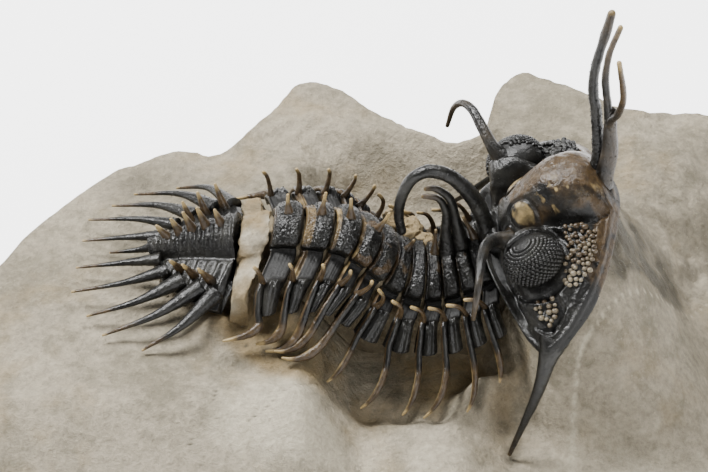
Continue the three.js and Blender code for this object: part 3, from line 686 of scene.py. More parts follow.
def head_height(f, w, share=0.5):
    """Height of the top of the head shield."""
    side = np.abs(w)
    cheek = cheek_height(f, w)
    edge = mix(rim_height(f, w) + 1.6, cheek, 0.35)
    cheek = mix(cheek, edge, smooth(share, 0.92, 1.0))
    cheek = cheek - 0.45 * bell(share, 0.885, 0.03) * (1 - smooth(f, 5.0, 7.5))
    cheek = cheek - 0.12 * bell(share, 0.9, 0.03)
    ridge = line_distance(f, side, CHEEK_RIDGE)
    cheek = cheek + 0.42 * bell(ridge, 0, 0.34)
    cheek = cheek - 0.35 * bell(f, 4.5, 1.5) * bell(side, 12.6, 1.8)
    socket = np.hypot((f - EYE_AT[0]) / (EYE_RADII[0] + 0.4), (side - EYE_AT[1]) / (EYE_RADII[1] + 0.4))
    cheek = cheek - 0.4 * bell(socket, 1.05, 0.12) + 0.22 * bell(socket, 1.24, 0.07)
    half, top = glabella_profile(f)
    q = side / half
    floor = -1.2
    dome = floor + (top - floor) * np.maximum(0, 1 - np.minimum(q, 1) ** 2.4) ** 0.62
    inside = (q < 1) & (f > -0.5) & (f < 14.3)
    furrow = cheek - 0.7 * bell(q, 1.04, 0.1) * smooth(f, 1.0, 2.5) * (1 - smooth(f, 13.0, 14.5))
    furrow = furrow + 0.4 * bell(q, 1.24, 0.06) * smooth(f, 6.0, 7.5) * (1 - smooth(f, 11.5, 13.0))
    height = np.where(inside, np.maximum(dome, furrow), furrow)
    lobe = side_lobe(f, side)
    height = height - 0.34 * bell(lobe, 1.1, 0.13) + 0.22 * (1 - smooth(lobe, 0.2, 1.0))
    small = neck_lobe(f, side)
    height = height - 0.2 * bell(small, 1.15, 0.16) + 0.16 * (1 - smooth(small, 0.3, 1.0))
    lid_edge = 7.5 - 0.35 * (f - 2.5)
    lid = 2.25 + 0.65 * smooth(side, 4.2, 6.6)
    shelf = smooth(f, 0.4, 3.6) * (1 - smooth(f, 5.6, 8.6)) * smooth(side, 3.2, 5.4)
    shelf = shelf * (1 - smooth(side, lid_edge - 0.3, lid_edge + 0.6))
    height = mix(height, np.maximum(height, lid), shelf)
    return height


def head_marks(f, w, share):
    """Brown and cream patches of the head shield, and a painted sheen on the front of the glabella."""
    side = np.abs(w)
    points = on_plane(f, w)
    patch = rough(points, 2.2, 91)
    fine = rough(points, 0.7, 17)
    q = side / glabella_profile(f)[0]
    dome = (1 - smooth(q, 0.86, 1.0)) * smooth(f, 3.0, 5.0) * (1 - smooth(f, 13.9, 14.6))
    top = smooth(w + 0.22 * (f - 7.5) + 0.7 * patch, -1.9, -0.9) * smooth(f, 5.5, 7.5)
    brown = dome * np.clip(0.52 + 0.5 * top + 0.35 * patch, 0, 1)
    front = smooth(share, 0.84, 0.92) * smooth(f, 8.5, 11)
    brown = np.maximum(brown, front * (0.25 + 0.75 * smooth(patch, -0.3, 0.5)))
    lobe = side_lobe(f, side)
    cream = (1 - smooth(lobe, 0.6, 1.05)) * (0.66 + 0.35 * fine)
    near = smooth(-w, 0.0, 0.8)
    yellow = bell(f, 9.1, 1.25) * bell(w, -3.1, 1.3)
    speckle = bell(f, 11.0, 3.2) * bell(w, -2.3, 1.15)
    # Painted sheen on the front near corner of the glabella, laid into the cream mark.
    painted_sheen = bell(f, 12.6, 1.5) * bell(w, -3.4, 1.0)
    cream = np.maximum(cream, 0.9 * yellow * smooth(patch + fine, -0.6, 0.6))
    cream = np.maximum(cream, near * speckle * smooth(fine + 0.4 * patch, 0.0, 0.55))
    cream = np.maximum(cream, 0.35 * painted_sheen)
    cream = np.maximum(cream, 0.28 * dome * (1 - top) * smooth(f, 4.0, 6.0) * smooth(patch, -0.4, 0.5))
    small = neck_lobe(f, side)
    brown = np.maximum(brown, 0.5 * (1 - smooth(small, 0.7, 1.1)))
    return np.clip(brown, 0, 1), np.clip(cream, 0, 1)


def head_piece(material):
    """Head shield with its eyes, horns, genal spines, neck spine and fork."""
    clay = Clay()
    outline = head_outline(460)
    shares = np.concatenate([np.linspace(0.01, 0.86, 78), np.linspace(0.87, 1.0, 16)])
    f = mix(HEAD_CENTRE, outline[None, :, 0], shares[:, None])
    w = outline[None, :, 1] * shares[:, None]
    share = np.repeat(shares[:, None], len(outline), axis=1)
    top = np.stack([f, w, head_height(f, w, share)], axis=-1)
    brown, cream = head_marks(f, w, share)
    edge_f, edge_w = outline[:, 0], outline[:, 1]
    top_edge = top[-1, :, 2]
    rim = rim_height(edge_f, edge_w)
    walls = []
    for down in (0.06, 0.2, 0.4, 0.6, 0.8, 0.94, 1.0):
        bulge = 1 + 0.016 * math.sin(math.pi * down) + 0.01 * math.sin(down * 9)
        lift = mix(top_edge, rim, down)
        walls.append(np.stack([mix(HEAD_CENTRE, edge_f, bulge), edge_w * bulge, lift], axis=-1))
    for inside, lower in ((0.97, 0.05), (0.93, 0.4)):
        f_in, w_in = mix(HEAD_CENTRE, edge_f, inside), edge_w * inside
        walls.append(np.stack([f_in, w_in, rim + lower], axis=-1))
    for inside in (0.82, 0.55, 0.3):
        f_in, w_in = mix(HEAD_CENTRE, edge_f, inside), edge_w * inside
        walls.append(np.stack([f_in, w_in, head_underside(f_in, w_in)], axis=-1))
    below = len(walls)
    local = np.concatenate([top, np.array(walls)])
    wall_front = smooth(edge_f, 8.0, 10.5)[None, :]
    wall_patch = rough(local[-below:], 1.8, 5)
    brown = np.vstack([brown, wall_front * (0.35 + 0.65 * smooth(wall_patch, -0.3, 0.5))])
    cream = np.vstack([cream, np.zeros((below, len(outline)))])
    grain_neck = bell(local[..., 0], 0.5, 0.9) * bell(local[..., 1], 0, 3.0)
    rings = HEAD.place(local)
    lift = 0.05 * rough(rings, 0.9, 3) + 0.08 * rough(rings, 3.6, 8, 2)
    rings = rings + HEAD.up * lift[..., None]
    matt = np.zeros(rings.shape[:2])
    matt[-below:] = 0.9
    clay.add(rings, brown=brown, cream=cream, grain=np.clip(grain_neck + 0.12, 0, 1), matt=matt)
    route = HEAD.route
    for side in (-1, 1):
        add_eye(clay, side)
        add_spine(clay, route(HORNS[side], side), 0.85, 0.24, straw_from=0.9, straw=0.35, flare=1.5,
                  brown=0.25, samples=50, seed=30 + side, grain=0.2)
        add_spine(clay, route(GENAL_SPINES[side], side), 1.45, 0.24, straw_from=0.93, straw=0.5, flare=1.15,
                  brown=0.05, flat=0.75, samples=60, seed=33 + side)
    add_spine(clay, route(NECK_SPINE), 1.05, 0.5, straw_from=0.97, straw=0.3, flare=1.7, grain=0.5,
              samples=80, sides=22, wobble=0.06, seed=37)
    add_spine(clay, route(FORK_STEM), 1.35, 0.62, straw=0, flare=1.5, brown=0.35, grain=0.3, flat=0.72,
              seed=41)
    add_spine(clay, route(FORK_MIDDLE), 0.62, 0.34, straw_from=0.8, straw=0.7, flare=1.0, brown=0.3,
              flat=0.85, wobble=0.08, seed=42)
    add_spine(clay, route(FORK_FAR), 0.72, 0.5, straw_from=0.93, straw=0.5, flare=1.2, brown=0.0, grain=1.0,
              samples=60, wobble=0.12, seed=43)
    add_spine(clay, route([FORK_STEM[3]] + FORK_NEAR), 0.55, 0.3, straw_from=0.75, straw=0.7, flare=1.0,
              brown=0.3, samples=40, wobble=0.08, seed=44)
    return clay.piece("head", material)


def add_eye(clay, side):
    """The body of one eye under its lenses."""
    turns = np.linspace(0, 2 * np.pi, 64, endpoint=False)
    rows = []
    for lift in np.radians(np.linspace(-70, 85, 34)):
        reach = math.cos(lift) ** 0.85
        rows.append(np.stack([
            EYE_AT[0] + EYE_RADII[0] * reach * np.cos(turns),
            side * (EYE_AT[1] + EYE_RADII[1] * reach * np.sin(turns)),
            EYE_AT[2] + EYE_RADII[2] * 0.95 * math.sin(lift) * np.ones_like(turns),
        ], axis=-1))
    clay.add(HEAD.place(np.array(rows)), matt=0.25)


# Fields of tubercles on the cheek: corners of the field, number and radius of the tubercles
TUBERCLE_FIELDS = [
    ([
        (9.2, 5.0), (11.0, 5.2), (12.2, 6.6), (11.5, 8.7), (10.2, 10.7), (8.1, 11.9), (6.9, 10.9), (8.6, 7.9),
    ], 78, 0.3),
    ([(3.3, 11.2), (5.5, 11.8), (5.3, 13.2), (3.7, 14.0), (3.0, 12.6)], 15, 0.3),
]


def inside_outline(f, w, corners):
    """Whether a point lies inside a closed outline."""
    within = False
    for (f1, w1), (f2, w2) in zip(corners, corners[1:] + corners[:1]):
        if (w1 > w) != (w2 > w) and f < (f2 - f1) * (w - w1) / (w2 - w1) + f1:
            within = not within
    return within


def tubercle_points(side):
    """Places of the tubercles on one cheek, with their radii, in millimetres."""
    random = np.random.default_rng(12)
    spots, sizes = [], []
    for corners, count, radius in TUBERCLE_FIELDS:
        low, high = np.min(corners, axis=0), np.max(corners, axis=0)
        chosen = []
        for _ in range(6000):
            f, w = random.uniform(low, high)
            size = radius * random.uniform(0.72, 1.12)
            apart = all(math.hypot(f - a, w - b) > 0.86 * (size + r) for a, b, r in chosen)
            if apart and inside_outline(f, w, corners):
                chosen.append((f, w, size))
            if len(chosen) == count:
                break
        for f, w, size in chosen:
            height = float(head_height(np.array([f]), np.array([w]))[0])
            spots.append(HEAD.place(np.array([(f, side * w, height + 0.1)]))[0])
            sizes.append(size)
    return spots, sizes


# Tail

def tail_profile(back):
    """Half width and drop of the tail, the same of its axis, and the height of its crest."""
    half = TAIL_HALF_WIDTH * np.sqrt(np.maximum(0.03, 1 - back ** 1.7))
    return half, mix(TAIL_DROP, 1.5, back), mix(3.2, 1.3, back), mix(1.9, 1.0, back), -0.9 * back ** 2


def tail_section(back, share):
    """Local point of the tail's top: back from 0 to 1 and share from -1 to 1 across."""
    half, drop, axis, axis_drop, crest = tail_profile(back)
    side = np.abs(share)
    width = half * side
    knots = [np.zeros_like(half), 0.6 * axis, axis, 0.68 * half + 0.2, half]
    drops = [np.zeros_like(half), 0.3 * axis_drop, axis_drop, 0.62 * drop + 0.1, drop]
    lift = np.zeros_like(width)
    for k in range(4):
        part = np.clip((width - knots[k]) / np.maximum(knots[k + 1] - knots[k], 1e-6), 0, 1)
        lift = lift + part * (drops[k + 1] - drops[k])
    forward = -TAIL_LENGTH * back + 0.25 * back - TAIL_SWEEP * width ** 2 * (1 - back)
    rings = 0.5 + 0.5 * np.cos(2 * np.pi * (back * 10.0))
    on_axis = 1 - smooth(width / axis, 0.85, 1.05)
    lateral = smooth(width / axis, 1.1, 1.4) * (1 - smooth(side, 0.78, 0.95))
    ribs = 0.5 + 0.5 * np.cos(2 * np.pi * (back * 8.0 - 1.1 * side + 0.3))
    relief = (
        on_axis * (0.32 * rings ** 0.6 + 0.35 * (1 - (width / axis) ** 2))
        + lateral * (0.22 * ribs ** 1.5 - 0.05)
        - 0.35 * bell(width / axis, 1.05, 0.12)
    )
    return np.stack([forward, np.sign(share) * width, crest - lift + relief], axis=-1), on_axis


def tail_piece(material):
    """Tail shield with its marginal, side, end and crest spines."""
    clay = Clay()
    backs = np.linspace(0, 1, 90)
    shares = np.sin(np.linspace(-1, 1, 101) * np.pi / 2 * 0.98) / math.sin(np.pi / 2 * 0.98)
    grid_back, grid_share = np.meshgrid(backs, shares, indexing="ij")
    top, on_axis = tail_section(grid_back, grid_share)
    half, drop, _, _, crest = tail_profile(backs)
    forward = -TAIL_LENGTH * backs + 0.25 * backs
    under = []
    for share, sink, lean in ((0.97, 1.0, 1.0), (0.62, 0.66, 1.3), (-0.62, 0.66, 1.3), (-0.97, 1.0, 1.0)):
        width = half * share
        sweep = forward - TAIL_SWEEP * width ** 2 * (1 - backs)
        under.append(np.stack([sweep, width, crest - sink * drop - 0.85 * lean], axis=-1))
    local = np.concatenate([top, np.stack(under, axis=1)], axis=1)
    rings = TAIL_JOINT.place(local)
    rings = rings + TAIL_JOINT.up * (0.05 * rough(rings, 1.0, 61))[..., None]
    grain = np.zeros(rings.shape[:2])
    grain[:, :101] = on_axis
    clay.add(rings, grain=grain)
    route = TAIL_JOINT.route
    for side in (-1, 1):
        for index, (root, tip) in enumerate(TAIL_SPINES):
            root, tip = np.array(root), np.array(tip)
            bow = mix(root, tip, np.array([0.45, 0.68, 0.4])) + (0, 0, 0.1)
            add_spine(clay, route([root, bow, tip], side), 0.85 if index < 3 else 0.7, 0.15,
                      straw_from=0.86, flare=1.3, brown=0.02, grain=0.25, flat=0.8, samples=44,
                      seed=50 + index)
        for path in TAIL_SIDE_SPINES:
            add_spine(clay, route(path, side), 0.34, 0.16, straw_from=0.45, flare=1.9, brown=0.4,
                      sides=10, samples=16)
    add_spine(clay, route(TAIL_END_SPINE), 0.65, 0.14, straw_from=0.9, flare=1.3, grain=0.2)
    for path in TAIL_CREST_SPINES:
        points = [(forward, 0, upward) for forward, upward in path]
        add_spine(clay, route(points), 0.38, 0.16, straw_from=0.4, flare=2.0, brown=0.4, sides=10, samples=18)
    return clay.piece("tail", material)


# Stone

def ground_height(x, y):
    """Height of the open ground of the block."""
    behind = mix(TAIL_GROUND, SIDE_GROUND + 1, smooth(-y, 17, 38))
    beside = mix(behind, SIDE_GROUND, smooth(x, -6.7, 1.3))
    near = mix(beside, HEAD_GROUND, smooth(x, 10, 18))
    trench = mix(near, beside, smooth(y, -4, 6))
    bank = smooth(y, 16, 26)
    bank_right = smooth(y - 1.3 * (x - 26), -10, 10)
    ground = mix(trench, FAR_GROUND, mix(bank, bank_right, smooth(x, 20, 30)))
    mound = 9 * bell(x, 25, 8) * bell(y, -3, 9)
    falls = 3.5 * smooth(-y, 18, 42) + 2.0 * smooth(x, 30, 53) + 1.2 * smooth(-x, 30, 48)
    return ground + mound - falls


def block_outline(count):
    """Points around the foot of the block."""
    return closed_curve(np.array(BLOCK_EDGE, float), count, 1, 6000)


def natural(x, y):
    """How much of the ground is untouched broken rock, on the right slope."""
    line = 0.95 * (y + 12.5) - (x - 24.0)
    wander = 2.2 * rough(on_plane(x, y), 6.0, 23)
    return smooth(line + wander, 0.3, 2.4) * smooth(x, 19, 25) * (1 - smooth(y, 14, 24))


# Lumps and hollows of the ground: middle, half length, half width, turn in degrees and height
LUMPS = [
    ((15.6, -10.6), 4.6, 1.5, 32, 4.2), ((13.4, -12.0), 1.6, 1.3, 0, 1.2), ((-15.0, -8.5), 2.4, 2.0, 20, 1.6),
    ((5.0, -13.6), 1.5, 1.2, 0, -1.4), ((9.0, -13.6), 1.4, 1.2, 0, -1.4), ((1.5, -13.8), 1.4, 1.2, 0, -1.2),
    ((-10.6, -14.0), 5.0, 1.4, -12, -1.0), ((37.0, 15.0), 7.0, 2.4, 35, 1.5),
    ((33.0, 5.0), 6.0, 1.6, 50, 1.3),
    ((-16.0, 27.0), 8.0, 2.5, 30, -0.8), ((-2.0, 27.0), 5.0, 2.0, -25, 0.8),
]


def mound_height(x, y):
    """Stone that carries the reared head: level with its underside, then falling away all around."""
    pitch, yaw = (math.radians(angle) for angle in CREST[0][1:])
    level, rise = math.cos(pitch), math.sin(pitch)
    away_x, away_y = x - HEAD.origin[0], y - HEAD.origin[1]
    along = away_x * math.cos(yaw) + away_y * math.sin(yaw)
    w = away_y * math.cos(yaw) - away_x * math.sin(yaw)
    f = along / level
    for _ in range(3):
        u = head_underside(f, w) - MOUND_GAP
        free = (along + u * rise) / level
        f = np.clip(free, -1.5, 14.5)
    outline = head_outline(160)
    angles = np.arctan2(outline[:, 1], outline[:, 0] - HEAD_CENTRE)
    limits = np.hypot(outline[:, 1], outline[:, 0] - HEAD_CENTRE)
    order = np.argsort(angles)
    direction = np.arctan2(w, f - HEAD_CENTRE)
    limit = MOUND_SHARE * np.interp(direction, angles[order], limits[order], period=2 * math.pi)
    reach = np.hypot(w, free - HEAD_CENTRE)
    beyond = np.maximum(0, reach - limit)
    inward = np.minimum(1, limit / np.maximum(reach, 1e-6))
    f_in, w_in = HEAD_CENTRE + (free - HEAD_CENTRE) * inward, w * inward
    u_in = head_underside(f_in, w_in) - MOUND_GAP
    top = HEAD.origin[2] + f_in * rise + u_in * level
    steepness = mix(2.6, 1.55, smooth(f_in, 4, 10))
    return top - beyond * steepness - 0.5 * smooth(beyond, 0, 0.8) - 2 * (1 - smooth(f_in, 0, 3.5))


def soft_max(a, b, width):
    """The greater of two heights with a rounded foot between them."""
    share = np.clip(0.5 + 0.5 * (a - b) / width, 0, 1)
    return mix(b, a, share) + width * share * (1 - share)


def crack_depth(x, y, path, width):
    """1 on a line along the ground and 0 away from it."""
    line = curve_through(path, 40)
    wander = 0.5 * rough(on_plane(x, y), 2.4, 131, 2)
    nearest = np.full(x.shape, 99.0)
    for px, py in line:
        nearest = np.minimum(nearest, np.hypot(x - px, y - py + wander * 0.6))
    return bell(nearest, 0, width)


CRACKS = [
    ([(-11.2, -10.1), (-13.4, -15.0), (-17.2, -23.7)], 0.16),
    ([(-2.6, -12.6), (-6.0, -16.4), (-11.0, -21.2)], 0.14),
]
PALE_EDGE = [(23.3, -20.0), (23.9, -13.5), (25.7, -10.8), (33.2, -2.7), (39.5, 4.8)]


def stone_surface(x, y):
    """Height of the top of the stone with its broken and its tooled places."""
    points = on_plane(x, y)
    broad = rough(points, 14.0, 11)
    middle = rough(points, 4.0, 12, 4)
    fine = rough(points, 0.9, 13)
    wild = natural(x, y)
    far = smooth(y, 14, 22)
    height = ground_height(x, y) + 0.35 * broad * (0.4 + far + wild)
    for (at_x, at_y), length, width, turn, lift in LUMPS:
        c, t = math.cos(math.radians(turn)), math.sin(math.radians(turn))
        u, v = (x - at_x) * c + (y - at_y) * t, (y - at_y) * c - (x - at_x) * t
        height = height + lift * bell(u, 0, length) * bell(v, 0, width)
    height = soft_max(height, mound_height(x, y), 3.0)
    for path, width in CRACKS:
        height = height - 0.22 * crack_depth(x, y, path, width * 1.5)
    height = height - 0.25 * crack_depth(x, y, PALE_EDGE, 0.5)
    return height + middle * (0.13 + 0.42 * wild + 0.16 * far) + fine * (0.05 + 0.2 * wild + 0.05 * far)


def shade_near_line(points, path, radius):
    """1 beside a line in space and 0 away from it, for painted shade on the stone under a spine."""
    nearest = np.full(points.shape[:-1], 99.0)
    for spot in curve_through(path, 16):
        nearest = np.minimum(nearest, np.linalg.norm((points - spot) * (1, 0.8, 0.55), axis=-1))
    return bell(nearest, 0, radius)


def painted_spine_shade(points):
    """Painted shade on the stone beside the front side spines and under the genal spine."""
    painted_shade = np.zeros(points.shape[:-1])
    for joint in range(1, 12):
        frame, tip = JOINTS[joint], np.array(SIDE_TIPS[joint])
        edge = arch_stations(joint)[7]
        # Painted shade, shifted forward and down from each spine.
        shift = (0.9, 0, -0.4) if joint < 7 else (0.5, 0, -1.0)
        path = [edge + (0.2, 0.2, -1.0), mix(edge, tip, 0.5) + (0.3, 0.6, 0), mix(edge, tip, 0.86)]
        path = frame.place((np.array(path) + shift) * (1, -1, 1))
        painted_shade = np.maximum(painted_shade, (0.95 if joint < 7 else 0.7) * shade_near_line(points, path, 0.95))
    genal = HEAD.place(np.array(GENAL_SPINES[-1][2:]) * (1, -1, 1) + (-0.6, 0, -1.2))
    return np.maximum(painted_shade, 0.8 * shade_near_line(points, genal[-1:] + np.array([[0, 0, 0], [0.6, 1.5, 0]]), 1.1))


def stone_marks(x, y, z):
    """Dark, pale and yellow places of the stone."""
    space = np.stack([x, y, z], axis=-1)
    broad = rough(space, 11.0, 71)
    patch = rough(space, 3.2, 72)
    body = smooth(np.hypot((x + 1) / 17.5, (y + 1.5) / 15.0), 1.12, 0.85)
    near_front = bell(x, -4.0, 17.0) * bell(y, -21.0, 7.0)
    wild = natural(x, y)
    # Dark on the broken rock of the right slope, less dark further back: partly the rock's own colour, partly
    # painted shade of a slope turned from the light and of the head's shadow.
    dark = 0.85 * wild * (1 - 0.55 * smooth(y, 2, 14)) * (0.8 + 0.45 * patch)
    dark = dark + 0.55 * bell(x, -24, 7) * bell(y, 16, 6) + 0.4 * bell(x, -36, 9) * bell(y, -2, 9)
    dark = dark + 0.3 * smooth(y, 12, 20) * smooth(patch, 0.2, 0.9) * (1 - smooth(x, 20, 28))
    dark = dark + 0.35 * bell(x, -1, 12) * bell(y, 16.5, 4.5)
    right = smooth(-y, 12, 20) * smooth(x, 15, 24) * (1 - wild)
    pale = near_front * (0.75 + 0.5 * broad) + 0.55 * right
    pale = pale + 0.9 * crack_depth(x, y, PALE_EDGE, 0.28)
    pale = pale + 0.35 * smooth(y, 20, 27) * smooth(broad, -0.2, 0.6)
    for path, width in CRACKS:
        dark = dark + 0.8 * crack_depth(x, y, path, width)
    ledge = bell(x, 15.6, 5) * bell(y, -10.6, 3)
    yellow = body * (0.6 + 0.5 * broad) + 0.3 * smooth(patch, 0.3, 0.9) + 0.5 * ledge
    # Painted shade beside the side spines and under the genal spine darkens the stone here.
    dark = np.maximum(dark, painted_spine_shade(space))
    return np.clip(dark, 0, 1), np.clip(pale, 0, 1), np.clip(yellow, 0, 1)


def stone_piece(material):
    """The whole block with its ridge, collar, pedestal and mound."""
    clay = Clay()
    outline = block_outline(430)
    from_x, to_x, squeeze, core_y = BLOCK_CORE
    core = np.clip(squeeze * outline[:, 0], from_x, to_x)
    step = 0.35 * rough(on_plane(outline[:, 0], outline[:, 1]), 3.0, 81)

    def ring(share, height):
        x = mix(core, outline[:, 0], share) + step * smooth(share, 0.9, 1.0) * 0.5
        y = mix(core_y, outline[:, 1], share) + step * smooth(share, 0.9, 1.0)
        return np.stack([x, y, height(x, y)], axis=-1)

    levels = np.linspace(0, 1, 12)
    walls = []
    for level in levels:
        share = 0.955 + 0.045 * math.sin(min(level * 1.9, 1.0) * math.pi / 2)
        walls.append(ring(share, lambda x, y: level * (stone_surface(x, y) - 0.5)))
    shares = np.concatenate([[0.993], np.linspace(0.985, 0.03, 196), [0.012]])
    tops = [ring(share, stone_surface) for share in shares]
    tops.append(ring(0.008, lambda x, y: np.full(x.shape, HIDDEN_GROOVE_FLOOR)))
    rings = np.array(walls + tops)
    wall = rings[1:12]
    chips = rough(wall, 3.5, 82, 4)
    outward = wall[..., :2] - np.array([0.0, core_y])
    outward /= np.linalg.norm(outward, axis=-1)[..., None]
    fade = np.sin(np.linspace(0, np.pi, 13))[1:12, None]
    wall[..., :2] += outward * (0.45 * (chips - 0.9) * fade)[..., None]
    dark, pale, yellow = stone_marks(rings[..., 0], rings[..., 1], rings[..., 2])
    clay.add(rings, brown=dark, cream=pale, straw=yellow)
    add_ridge(clay)
    add_collar(clay)
    add_pedestal(clay)
    add_yellow_lump(clay)
    return clay.piece("stone", material)


def roughened(rings, size, amount, seed):
    """Rings pushed about by noise."""
    return rings + amount * np.stack([rough(rings, size, seed + k) for k in range(3)], axis=-1)


def with_feet(line, inward, height, count):
    """A line across the body with a wall of stone at each of its ends, down into the block."""
    foot_near = line[0] * (1, 1, 0) + (0, inward, height)
    foot_far = line[-1] * (1, 1, 0) + (0, -inward, height)
    near = np.linspace(foot_near, line[0], count)[:-1]
    far = np.linspace(line[-1], foot_far, count)[1:]
    return np.vstack([near, line, far])


def add_ridge(clay):
    """Stone under the arch of the thorax."""
    rows = []
    for place in np.linspace(11.4, 0.2, 60):
        low = int(place)
        part = place - low
        line = mix(arch_line(low, 41), arch_line(low + 1, 41), part)[12:29]
        rows.append(with_feet(line - (0, 0, 1.5), 0.5, 8.0, 14))
    rings = roughened(np.array(rows), 1.6, 0.3, 301)
    # The ridge stone is dark throughout, and darker still where painted shade lies beside the side spines.
    clay.add(rings, straw=0.6, brown=np.maximum(0.45, painted_spine_shade(rings)))


def add_collar(clay):
    """Bare stone that stands between the thorax and the tail."""
    half = arch_stations(COLLAR)
    line = curve_through(np.vstack([half[::-1] * (1, -1, 1), half[1:]]), 121)[10:-10]
    rows = []
    for shift in np.linspace(-1.9, 1.35, 26):
        bow = 1 - 0.55 * (line[:, 1] / 7.6) ** 2 if shift < 0 else np.ones(len(line))
        hollow = 0.9 * bell(line[:, 1], 4.6, 1.5) * bell(shift, 0.1, 1.6)
        sink = 0.34 + 0.28 * (shift / 1.4) ** 2 + hollow
        local = line + np.stack([shift * bow, np.zeros(len(line)), -sink], axis=-1)
        rows.append(with_feet(JOINTS[COLLAR].place(local), 0.2, 17.0, 14))
    rings = roughened(np.array(rows), 1.9, 0.28, 311)
    rings = roughened(rings, 0.6, 0.07, 315)
    patch = rough(rings, 2.6, 316)
    clay.add(rings, straw=np.clip(0.72 + 0.5 * patch, 0, 1), cream=np.clip(0.3 - 0.5 * patch, 0, 1) * 0.8)


def add_pedestal(clay):
    """Stone under the tail shield."""
    rows = []
    for back in np.linspace(0.97, 0.02, 22):
        half, drop, _, _, crest = tail_profile(np.array(back))
        width = np.linspace(-0.62, 0.62, 15) * half
        lift = crest - 0.66 * drop - 2.3
        top = TAIL_JOINT.place(np.stack([-TAIL_LENGTH * back + 0 * width, width, lift + 0 * width], axis=-1))
        rows.append(with_feet(top, -1.2, 17.0, 8))
    rings = roughened(np.array(rows), 1.5, 0.3, 321)
    clay.add(rings, straw=0.4, brown=0.6)


def add_yellow_lump(clay):
    """Crusty yellow lump of stone left between the crest spines in front of the neck spine's tip."""
    turns = np.linspace(0, 2 * np.pi, 48, endpoint=False)
    for middle, size, seed in (
        ((6.2, 4.6, 23.2), (1.3, 1.7, 1.2), 341), ((7.6, 2.6, 22.9), (1.2, 1.3, 1.0), 342),
        ((4.6, 6.8, 22.6), (1.5, 1.6, 1.3), 343), ((8.8, 1.0, 22.6), (1.0, 1.0, 0.9), 344),
    ):
        rows = []
        for lift in np.radians(np.linspace(-80, 80, 30)):
            around = np.stack([np.cos(turns), np.sin(turns), np.full_like(turns, math.tan(lift))], axis=-1)
            rows.append(np.array(middle) + around * np.array(size) * math.cos(lift))
        rings = roughened(np.array(rows), 0.9, 0.35, seed)
        clay.add(rings, straw=1.0, cream=0.25)


# Node trees

class Socket:
    """A socket whose arithmetic adds Math nodes to its tree."""

    def __init__(self, nodes, socket):
        self.nodes = nodes
        self.socket = socket

    def _math(self, operation, first, second=None):
        values = {0: first} if second is None else {0: first, 1: second}
        return self.nodes.add("ShaderNodeMath", {"operation": operation}, values)

    def __add__(self, other):
        return self._math("ADD", self, other)

    def __radd__(self, other):
        return self._math("ADD", other, self)

    def __sub__(self, other):
        return self._math("SUBTRACT", self, other)

    def __rsub__(self, other):
        return self._math("SUBTRACT", other, self)

    def __mul__(self, other):
        return self._math("MULTIPLY", self, other)

    def __rmul__(self, other):
        return self._math("MULTIPLY", other, self)

    def __truediv__(self, other):
        return self._math("DIVIDE", self, other)

    def clamped(self):
        return self.nodes.add("ShaderNodeClamp", {}, {"Value": self})

    def step(self, low, high):
        """0 below low, 1 above high and smooth between them."""
        settings = {"interpolation_type": "SMOOTHSTEP"}
        values = {"Value": self, "From Min": low, "From Max": high}
        return self.nodes.add("ShaderNodeMapRange", settings, values)


class Nodes:
    """Adds nodes to a tree."""

    def __init__(self, tree):
        self.tree = tree

    def add(self, kind, settings=None, values=None, output=0):
        node = self.tree.nodes.new(kind)
        for name, value in (settings or {}).items():
            setattr(node, name, value)
        for key, value in (values or {}).items():
            if isinstance(value, Socket):
                self.tree.links.new(value.socket, node.inputs[key])
            else:
                node.inputs[key].default_value = value
        return Socket(self, node.outputs[output]) if len(node.outputs) else None

    def noise(self, where, scale, detail=4.0, roughness=0.55):
        values = {"Vector": where, "Scale": scale, "Detail": detail, "Roughness": roughness}
        return self.add("ShaderNodeTexNoise", {}, values)

    def mark(self, name):
        return self.add("ShaderNodeAttribute", {"attribute_name": name}, {}, output=2)

    def colours(self, share, first, second):
        settings = {"data_type": "RGBA"}
        return self.add("ShaderNodeMix", settings, {0: share, 6: first, 7: second}, output=2)


def new_material(name):
    material = bpy.data.materials.new(name)
    material.use_nodes = True
    tree = material.node_tree
    tree.nodes.clear()
    nodes = Nodes(tree)
    where = nodes.add("ShaderNodeTexCoord", {}, {}, output=3)
    return material, nodes, where


def finish_material(nodes, colour, roughness, height, bump, specular=0.5, coat=0.0, coat_roughness=0.1):
    normal = nodes.add("ShaderNodeBump", {}, {"Height": height, "Strength": bump[0], "Distance": bump[1]})
    values = {
        "Base Color": colour, "Roughness": roughness, "Normal": normal, "Specular IOR Level": specular,
        "Coat Weight": coat, "Coat Roughness": coat_roughness,
    }
    shader = nodes.add("ShaderNodeBsdfPrincipled", {}, values)
    nodes.add("ShaderNodeOutputMaterial", {}, {"Surface": shader})


